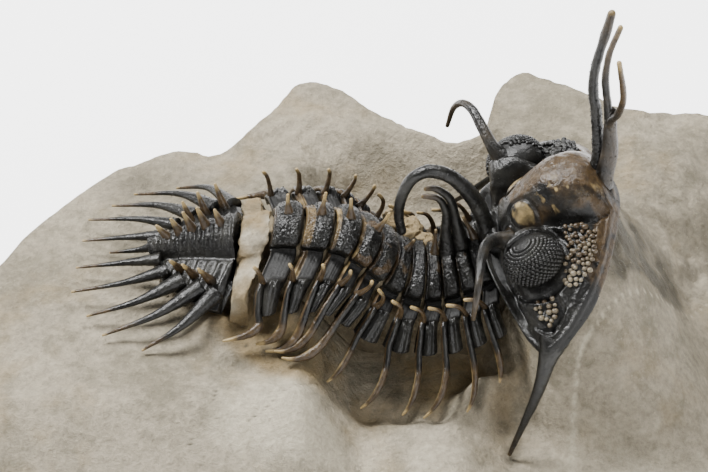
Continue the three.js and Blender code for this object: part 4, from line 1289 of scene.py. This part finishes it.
def shell_material(settings):
    """Near-black polished calcite that turns brown and straw on thin rims and tips."""
    material, nodes, where = new_material("fossil_shell")
    clouds = nodes.noise(where, 300.0, 6.0, 0.6)
    fine = nodes.noise(where, 3800.0, 3.0)
    grit = nodes.noise(where, 1700.0, 4.0, 0.65)
    pits = nodes.add("ShaderNodeTexVoronoi", {"feature": "F1"}, {"Vector": where, "Scale": 3600.0})
    matt = nodes.mark("matt")
    dark = nodes.colours(clouds.step(0.42, 0.72) * (1 - matt), settings.black, settings.grey)
    brown = (nodes.mark("brown") + (clouds - 0.5) * 0.8).step(0.2, 0.75)
    bark = nodes.colours(grit.step(0.35, 0.65), settings.brown, settings.umber)
    colour = nodes.colours(brown, dark, bark)
    speck = (nodes.noise(where, 850.0, 4.0, 0.65) - 0.5) * 0.9
    straw = (nodes.mark("straw") + speck * 0.7).step(0.2, 0.85)
    colour = nodes.colours(straw, colour, settings.straw)
    # The cream mark also carries the painted sheen on the glabella.
    cream = (nodes.mark("cream") + speck * 0.8).step(0.25, 0.8)
    tone = nodes.colours(nodes.noise(where, 520.0, 4.0).step(0.38, 0.62), settings.ochre, settings.straw)
    colour = nodes.colours(cream, colour, tone)
    roughness = (0.17 + 0.28 * clouds + 0.3 * matt + 0.16 * straw + 0.16 * cream).clamped()
    height = fine * 0.35 + grit * 0.9 + pits * 0.6 * nodes.mark("grain")
    finish_material(nodes, colour, roughness, height, (0.7, 0.00018), specular=0.38)
    return material


def tubercle_material(settings):
    """Brown calcite that is worn to pale horn on the crowns."""
    material, nodes, where = new_material("tubercle_shell")
    mottle = nodes.noise(where, 900.0, 4.0, 0.65)
    broad = nodes.noise(where, 260.0, 3.0)
    colour = nodes.colours(mottle.step(0.35, 0.65), settings.brown, settings.umber)
    pale = (broad + (mottle - 0.5) * 0.8).step(0.38, 0.68)
    colour = nodes.colours(pale * 0.8, colour, settings.cream)
    finish_material(nodes, colour, (0.22 + 0.25 * mottle).clamped(), mottle, (0.4, 0.00008), specular=0.45)
    return material


def stone_material(settings):
    """Fine grey-beige limestone, mottled and stained."""
    material, nodes, where = new_material("limestone")
    broad = nodes.noise(where, 60.0, 5.0, 0.6)
    mottle = nodes.noise(where, 260.0, 7.0, 0.68)
    fine = nodes.noise(where, 1700.0, 5.0, 0.7)
    speckle = nodes.noise(where, 800.0, 6.0, 0.75)
    mixed = mottle * 0.6 + speckle * 0.4 + (broad - 0.5) * 0.7
    base = nodes.colours(mixed.step(0.34, 0.66), settings.shade, settings.light)
    warm = nodes.noise(where, 110.0, 4.0, 0.6).step(0.5, 0.72) * 0.45
    base = nodes.colours(warm, base, settings.yellow)
    cream = (nodes.mark("cream") + (mottle - 0.5) * 0.8).step(0.2, 0.9)
    base = nodes.colours(cream * 0.85, base, settings.pale)
    yellow = (nodes.mark("straw") + (mottle - 0.5) * 1.1).step(0.25, 1.0)
    base = nodes.colours(yellow * 0.85, base, settings.yellow)
    # The brown mark holds dark broken stone, cracks, and painted shade beside the spines and on the right
    # slope.
    dark = (nodes.mark("brown") + (mottle - 0.5) * 1.3).step(0.15, 0.95)
    base = nodes.colours(dark * 0.9, base, settings.dark)
    grains = (fine * 0.6 + speckle * 0.4).step(0.36, 0.62)
    base = nodes.colours((1 - grains) * 0.3, base, settings.dark)
    glints = nodes.noise(where, 2600.0, 3.0, 0.7).step(0.62, 0.72)
    base = nodes.colours(glints * 0.35, base, settings.pale)
    roughness = (0.72 + 0.2 * grains - 0.2 * dark).clamped()
    height = fine * 0.5 + mottle * 1.2 + speckle * 0.9
    finish_material(nodes, base, roughness, height, (0.85, 0.0005), specular=0.3)
    return material


def plain_material(name, colour, roughness, glow):
    """An even surface with a glow of its own."""
    material, nodes, where = new_material(name)
    soft = nodes.noise(where, 3.0, 2.0)
    values = {
        "Base Color": colour, "Roughness": (roughness + 0.02 * soft).clamped(),
        "Emission Color": colour, "Emission Strength": glow,
    }
    shader = nodes.add("ShaderNodeBsdfPrincipled", {}, values)
    nodes.add("ShaderNodeOutputMaterial", {}, {"Surface": shader})
    return material


# Geometry node trees

def new_tree(name, inputs):
    tree = bpy.data.node_groups.new(name, "GeometryNodeTree")
    tree.interface.new_socket(name="Geometry", in_out="INPUT", socket_type="NodeSocketGeometry")
    for label, kind, value in inputs:
        socket = tree.interface.new_socket(name=label, in_out="INPUT", socket_type=kind)
        if value is not None:
            socket.default_value = value
    tree.interface.new_socket(name="Geometry", in_out="OUTPUT", socket_type="NodeSocketGeometry")
    nodes = Nodes(tree)
    start = tree.nodes.new("NodeGroupInput")
    given = {socket.name: Socket(nodes, socket) for socket in start.outputs if socket.name}
    return tree, nodes, given


def close_tree(nodes, geometry, material):
    whole = nodes.add("GeometryNodeRealizeInstances", {}, {"Geometry": geometry})
    smoothed = nodes.add("GeometryNodeSetShadeSmooth", {}, {"Geometry": whole})
    dressed = nodes.add("GeometryNodeSetMaterial", {}, {"Geometry": smoothed, "Material": material})
    end = nodes.tree.nodes.new("NodeGroupOutput")
    nodes.tree.links.new(dressed.socket, end.inputs[0])


def lens_tree():
    """Rows of lenses over the outer face of an eye, in the eye's own directions."""
    tree, nodes, given = new_tree("Lens rows", [
        ("Columns", "NodeSocketInt", 22), ("Rows", "NodeSocketInt", 12), ("Step", "NodeSocketFloat", 8.0),
        ("Lowest", "NodeSocketFloat", -34.0), ("Side", "NodeSocketFloat", 1.0),
        ("Size", "NodeSocketVector", (1, 1, 1)), ("Lens radius", "NodeSocketFloat", 0.0002),
        ("Material", "NodeSocketMaterial", None),
    ])
    count = given["Columns"] * given["Rows"]
    line = nodes.add("GeometryNodeMeshLine", {"mode": "OFFSET"}, {"Count": count})
    index = nodes.add("GeometryNodeInputIndex")
    row = nodes.add("ShaderNodeMath", {"operation": "FLOOR"}, {0: (index + 0.5) / given["Columns"]})
    column = index - row * given["Columns"]
    odd = nodes.add("ShaderNodeMath", {"operation": "MODULO"}, {0: row, 1: 2.0})
    degree = math.pi / 180
    lift = (given["Lowest"] + row * given["Step"] * 0.87) * degree
    turn = (column + odd * 0.5 - given["Columns"] * 0.5) * given["Step"] * degree
    cosine = {"operation": "COSINE"}
    sine = {"operation": "SINE"}
    reach = nodes.add("ShaderNodeMath", cosine, {0: lift})
    reach = nodes.add("ShaderNodeMath", {"operation": "POWER"}, {0: reach, 1: 0.85})
    forward = reach * nodes.add("ShaderNodeMath", sine, {0: turn})
    outward = reach * nodes.add("ShaderNodeMath", cosine, {0: turn}) * given["Side"]
    upward = nodes.add("ShaderNodeMath", sine, {0: lift}) * 0.95
    spot = nodes.add("ShaderNodeCombineXYZ", {}, {0: forward, 1: outward, 2: upward})
    spot = nodes.add("ShaderNodeVectorMath", {"operation": "MULTIPLY"}, {0: spot, 1: given["Size"]})
    placed = nodes.add("GeometryNodeSetPosition", {}, {"Geometry": line, "Position": spot})
    ball = nodes.add("GeometryNodeMeshIcoSphere", {}, {"Radius": given["Lens radius"], "Subdivisions": 2})
    lenses = nodes.add("GeometryNodeInstanceOnPoints", {}, {"Points": placed, "Instance": ball})
    close_tree(nodes, lenses, given["Material"])
    return tree


def bump_tree():
    """A rounded grain on every given point, with its size read from the point."""
    tree, nodes, given = new_tree("Tubercles", [
        ("Flatness", "NodeSocketFloat", 0.85), ("Seed", "NodeSocketInt", 3),
        ("Material", "NodeSocketMaterial", None),
    ])
    size = nodes.add("GeometryNodeInputNamedAttribute", {"data_type": "FLOAT"}, {"Name": "size"})
    spread = nodes.add("FunctionNodeRandomValue", {"data_type": "FLOAT"},
                       {"Min": 0.85, "Max": 1.15, "Seed": given["Seed"]}, output=1)
    ball = nodes.add("GeometryNodeMeshIcoSphere", {}, {"Radius": 1.0, "Subdivisions": 3})
    scale = nodes.add("ShaderNodeCombineXYZ", {}, {0: size * spread, 1: size, 2: size * given["Flatness"]})
    values = {"Points": given["Geometry"], "Instance": ball, "Scale": scale}
    bumps = nodes.add("GeometryNodeInstanceOnPoints", {}, values)
    close_tree(nodes, bumps, given["Material"])
    return tree


def granule_tree():
    """Fine granules scattered where the shell is marked as grainy."""
    tree, nodes, given = new_tree("Granules", [
        ("Density", "NodeSocketFloat", 1.0e7), ("Spacing", "NodeSocketFloat", 0.0002),
        ("Least radius", "NodeSocketFloat", 0.00004), ("Greatest radius", "NodeSocketFloat", 0.0001),
        ("Seed", "NodeSocketInt", 5), ("Material", "NodeSocketMaterial", None),
    ])
    grain = nodes.add("GeometryNodeInputNamedAttribute", {"data_type": "FLOAT"}, {"Name": "grain"})
    values = {
        "Mesh": given["Geometry"], "Distance Min": given["Spacing"], "Density Max": given["Density"],
        "Density Factor": grain, "Seed": given["Seed"],
    }
    points = nodes.add("GeometryNodeDistributePointsOnFaces", {"distribute_method": "POISSON"}, values)
    radius = nodes.add("FunctionNodeRandomValue", {"data_type": "FLOAT"}, {
        "Min": given["Least radius"], "Max": given["Greatest radius"], "Seed": given["Seed"],
    }, output=1)
    ball = nodes.add("GeometryNodeMeshIcoSphere", {}, {"Radius": 1.0, "Subdivisions": 1})
    values = {"Points": points, "Instance": ball, "Scale": radius}
    grains = nodes.add("GeometryNodeInstanceOnPoints", {}, values)
    close_tree(nodes, grains, given["Material"])
    return tree


def grown(carrier, tree, values, name):
    """A plain mesh object from a node tree run on the carrier."""
    modifier = carrier.modifiers.new("Growth", "NODES")
    modifier.node_group = tree
    for label, value in values.items():
        modifier[tree.interface.items_tree[label].identifier] = value
    graph = bpy.context.evaluated_depsgraph_get()
    mesh = bpy.data.meshes.new_from_object(carrier.evaluated_get(graph), depsgraph=graph)
    carrier.modifiers.remove(modifier)
    piece = bpy.data.objects.new(name, mesh)
    bpy.context.scene.collection.objects.link(piece)
    return piece


def point_carrier(points, sizes):
    """A mesh of loose points in metres that carry a size."""
    mesh = bpy.data.meshes.new("points")
    mesh.from_pydata((np.asarray(points) * MM).tolist(), [], [])
    layer = mesh.attributes.new("size", "FLOAT", "POINT")
    layer.data.foreach_set("value", (np.asarray(sizes) * MM).astype(np.float32))
    carrier = bpy.data.objects.new("points", mesh)
    bpy.context.scene.collection.objects.link(carrier)
    return carrier


def discard(carrier):
    bpy.data.objects.remove(carrier)


def join_pieces(pieces, name):
    """One object from several mesh objects."""
    with bpy.context.temp_override(active_object=pieces[0], selected_editable_objects=pieces):
        bpy.ops.object.join()
    pieces[0].name = name
    return pieces[0]


# Settings a user would change

def colour_setting(name, description, red, green, blue):
    return FloatVectorProperty(name=name, description=description, subtype="COLOR", size=4, min=0, max=1,
                               default=(red, green, blue, 1))


class ShellSettings(bpy.types.PropertyGroup):
    """Colours and grain of the armour."""

    black: colour_setting("Black", "Darkest shell", 0.0055, 0.0052, 0.0045)
    grey: colour_setting("Grey", "Lighter clouds in the shell", 0.021, 0.02, 0.0165)
    brown: colour_setting("Brown", "Thin rims and worn places", 0.034, 0.021, 0.0095)
    umber: colour_setting("Umber", "Lighter grain in the brown", 0.07, 0.045, 0.021)
    straw: colour_setting("Straw", "Spine tips", 0.31, 0.225, 0.1)
    ochre: colour_setting("Ochre", "Yellow patches of the head", 0.135, 0.1, 0.045)
    cream: colour_setting("Cream", "Worn crowns of the tubercles", 0.2, 0.17, 0.115)
    granule: FloatProperty(name="Granule", description="Greatest radius of a granule", unit="LENGTH",
                           default=0.00009)


class StoneSettings(bpy.types.PropertyGroup):
    """Colours of the limestone."""

    light: colour_setting("Light", "Main tone of the stone", 0.36, 0.315, 0.235)
    shade: colour_setting("Shade", "Darker mottling", 0.205, 0.18, 0.128)
    pale: colour_setting("Pale", "Freshly tooled stone", 0.50, 0.45, 0.34)
    yellow: colour_setting("Yellow", "Stained stone beside the fossil", 0.25, 0.18, 0.085)
    # Dark is the colour of broken stone and its dark grains, and also of the painted shade beside the spines
    # and on the right slope.
    dark: colour_setting("Dark", "Natural broken stone", 0.05, 0.043, 0.028)


class EyeSettings(bpy.types.PropertyGroup):
    """Lens rows of the eyes."""

    columns: IntProperty(name="Columns", description="Lenses in a row", default=20, min=4)
    rows: IntProperty(name="Rows", description="Rows of lenses", default=14, min=2)
    step: FloatProperty(name="Step", description="Degrees from lens to lens", default=9.8)
    radius: FloatProperty(name="Radius", description="Radius of one lens", unit="LENGTH", default=0.00024)


class StageSettings(bpy.types.PropertyGroup):
    """Floor, light and camera."""

    floor: colour_setting("Floor", "Colour of the floor", 0.93, 0.93, 0.93)
    key: FloatProperty(name="Key", description="Power of the main softbox", unit="POWER", default=9.0)
    fill: FloatProperty(name="Fill", description="Power of the second softbox", unit="POWER", default=2.8)
    elevation: FloatProperty(name="Elevation", description="Degrees of the camera above the floor",
                             default=CAMERA_ELEVATION)


# Operators

def shell_of(context):
    material = bpy.data.materials.get("fossil_shell")
    return material or shell_material(context.scene.fossil_shell)


def register_piece(piece, node):
    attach(piece, "root")
    if node:
        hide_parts(node)


class FOSSIL_OT_stone(bpy.types.Operator):
    """Build the block of limestone"""

    bl_idname = "fossil.stone"
    bl_label = "Stone"

    def execute(self, context):
        piece = stone_piece(stone_material(context.scene.fossil_stone))
        register_piece(piece, "matrix")
        return {"FINISHED"}


class FOSSIL_OT_thorax(bpy.types.Operator):
    """Build the eleven joints of the thorax"""

    bl_idname = "fossil.thorax"
    bl_label = "Thorax"

    def execute(self, context):
        for joint in range(1, 12):
            piece = joint_piece(joint, shell_of(context))
            register_piece(piece, f"thoracic_segment_{joint:02d}")
        return {"FINISHED"}


class FOSSIL_OT_head(bpy.types.Operator):
    """Build the head shield"""

    bl_idname = "fossil.head"
    bl_label = "Head"

    def execute(self, context):
        register_piece(head_piece(shell_of(context)), "cephalon")
        return {"FINISHED"}


class FOSSIL_OT_tail(bpy.types.Operator):
    """Build the tail shield"""

    bl_idname = "fossil.tail"
    bl_label = "Tail"

    def execute(self, context):
        register_piece(tail_piece(shell_of(context)), "pygidium")
        return {"FINISHED"}


class FOSSIL_OT_lenses(bpy.types.Operator):
    """Set the rows of lenses on both eyes"""

    bl_idname = "fossil.lenses"
    bl_label = "Lenses"

    def execute(self, context):
        settings = context.scene.fossil_eye
        tree = lens_tree()
        for side, name in ((-1, "lenses_near"), (1, "lenses_far")):
            carrier = point_carrier([(0, 0, 0)], [1])
            piece = grown(carrier, tree, {
                "Columns": settings.columns, "Rows": settings.rows, "Step": settings.step, "Lowest": -34.0,
                "Side": float(side), "Size": [radius * MM for radius in EYE_RADII],
                "Lens radius": settings.radius, "Material": shell_of(context),
            }, name)
            discard(carrier)
            at = HEAD.place(np.array([(EYE_AT[0], side * EYE_AT[1], EYE_AT[2])]))[0] * MM
            turn = Matrix((HEAD.fore, HEAD.left, HEAD.up)).transposed().to_4x4()
            piece.data.transform(Matrix.Translation(Vector(at)) @ turn)
            register_piece(piece, None)
        return {"FINISHED"}


class FOSSIL_OT_tubercles(bpy.types.Operator):
    """Set the fields of tubercles on both cheeks"""

    bl_idname = "fossil.tubercles"
    bl_label = "Tubercles"

    def execute(self, context):
        worn = tubercle_material(context.scene.fossil_shell)
        tree = bump_tree()
        for side, name, material in ((-1, "tubercles_near", worn), (1, "tubercles_far", shell_of(context))):
            carrier = point_carrier(*tubercle_points(side))
            piece = grown(carrier, tree, {"Flatness": 0.85, "Seed": 3, "Material": material}, name)
            discard(carrier)
            register_piece(piece, None)
        return {"FINISHED"}


class FOSSIL_OT_granules(bpy.types.Operator):
    """Scatter fine granules over the axial rings, spines and tail axis"""

    bl_idname = "fossil.granules"
    bl_label = "Granules"

    def execute(self, context):
        tree = granule_tree()
        largest = context.scene.fossil_shell.granule
        carriers = [bpy.data.objects[f"joint_{joint:02d}"] for joint in range(1, 12)]
        carriers += [bpy.data.objects["head"], bpy.data.objects["tail"]]
        pieces = []
        for index, carrier in enumerate(carriers):
            pieces.append(grown(carrier, tree, {
                "Density": 1.2e7, "Spacing": 0.00024, "Least radius": largest * 0.45,
                "Greatest radius": largest, "Seed": 5 + index, "Material": shell_of(context),
            }, f"granules_{index}"))
        register_piece(join_pieces(pieces, "granules"), None)
        return {"FINISHED"}


class FOSSIL_OT_stage(bpy.types.Operator):
    """Set the floor, the lights and the camera"""

    bl_idname = "fossil.stage"
    bl_label = "Stage"

    def execute(self, context):
        settings = context.scene.fossil_stage
        add_floor(settings)
        add_light("key_softbox", (-0.34, 0.16, 0.52), 0.20, settings.key)
        add_light("top_softbox", (0.10, 0.30, 0.55), 0.18, settings.fill * 1.5)
        add_light("front_softbox", (0.30, -0.55, 0.40), 0.32, settings.fill)
        add_world(context.scene)
        add_camera(context, settings)
        return {"FINISHED"}


# Half width of the floor in metres, its glow, the light of the world and where the lamps point
FLOOR_REACH = 3.0
FLOOR_GLOW = 1.9
WORLD_STRENGTH = 0.2
LIGHT_AIM = (0.0, 0.0, 0.02)


def add_world(scene):
    world = bpy.data.worlds.new("studio")
    world.use_nodes = True
    background = world.node_tree.nodes["Background"]
    background.inputs["Color"].default_value = (1, 1, 1, 1)
    background.inputs["Strength"].default_value = WORLD_STRENGTH
    scene.world = world


def add_floor(settings):
    mesh = bpy.data.meshes.new("floor")
    reach = FLOOR_REACH
    corners = [(-reach, -reach, 0), (reach, -reach, 0), (reach, reach, 0), (-reach, reach, 0)]
    mesh.from_pydata(corners, [], [(0, 1, 2, 3)])
    floor = bpy.data.objects.new("floor", mesh)
    bpy.context.scene.collection.objects.link(floor)
    mesh.materials.append(plain_material("pale_floor", tuple(settings.floor), 0.8, FLOOR_GLOW))
    floor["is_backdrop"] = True


def add_light(name, place, size, power):
    light = bpy.data.lights.new(name, "AREA")
    light.shape = "DISK"
    light.size = size
    light.energy = power
    holder = bpy.data.objects.new(name, light)
    holder.location = place
    holder.rotation_euler = (Vector(LIGHT_AIM) - Vector(place)).to_track_quat("-Z", "Y").to_euler()
    bpy.context.scene.collection.objects.link(holder)


def add_camera(context, settings):
    lift = math.radians(settings.elevation)
    distance = CAMERA_DISTANCE * MM
    camera = bpy.data.cameras.new("camera")
    camera.sensor_width = 36.0
    camera.lens = 36.0 * PIXELS_PER_MM * CAMERA_DISTANCE / IMAGE_SIZE[0]
    camera.clip_start = 0.01
    camera.clip_end = 20.0
    holder = bpy.data.objects.new("camera", camera)
    target = Vector(CAMERA_TARGET) * MM
    holder.location = target + Vector((0, -distance * math.cos(lift), distance * math.sin(lift)))
    holder.rotation_euler = (math.pi / 2 - lift, 0, 0)
    context.scene.collection.objects.link(holder)
    context.scene.camera = holder


class FOSSIL_PT_panel(bpy.types.Panel):
    """Pieces of the fossil"""

    bl_idname = "FOSSIL_PT_panel"
    bl_label = "Fossil"
    bl_space_type = "VIEW_3D"
    bl_region_type = "UI"
    bl_category = "Fossil"

    def draw(self, context):
        for operator in OPERATORS:
            self.layout.operator(operator.bl_idname)
        for group in ("fossil_shell", "fossil_stone", "fossil_eye", "fossil_stage"):
            settings = getattr(context.scene, group)
            box = self.layout.box()
            for name in settings.__annotations__:
                box.prop(settings, name)


OPERATORS = (
    FOSSIL_OT_stone, FOSSIL_OT_thorax, FOSSIL_OT_head, FOSSIL_OT_tail, FOSSIL_OT_lenses, FOSSIL_OT_tubercles,
    FOSSIL_OT_granules, FOSSIL_OT_stage,
)
GROUPS = {
    "fossil_shell": ShellSettings, "fossil_stone": StoneSettings, "fossil_eye": EyeSettings,
    "fossil_stage": StageSettings,
}


def register():
    for group, kind in GROUPS.items():
        bpy.utils.register_class(kind)
        setattr(bpy.types.Scene, group, PointerProperty(type=kind))
    for kind in OPERATORS:
        bpy.utils.register_class(kind)
    bpy.utils.register_class(FOSSIL_PT_panel)


def unregister():
    bpy.utils.unregister_class(FOSSIL_PT_panel)
    for kind in reversed(OPERATORS):
        bpy.utils.unregister_class(kind)
    for group, kind in GROUPS.items():
        delattr(bpy.types.Scene, group)
        bpy.utils.unregister_class(kind)


def corners(box):
    return [[float(value) for value in corner] for corner in box]


def main():
    register()
    bpy.ops.fossil.stone()
    bpy.ops.fossil.thorax()
    bpy.ops.fossil.head()
    bpy.ops.fossil.tail()
    bpy.ops.fossil.lenses()
    bpy.ops.fossil.tubercles()
    bpy.ops.fossil.granules()
    bpy.ops.fossil.stage()
    sizes = {"cad": corners(PACKED_BOX), "visual": corners(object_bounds())}


if __name__ == "__main__":
    main()
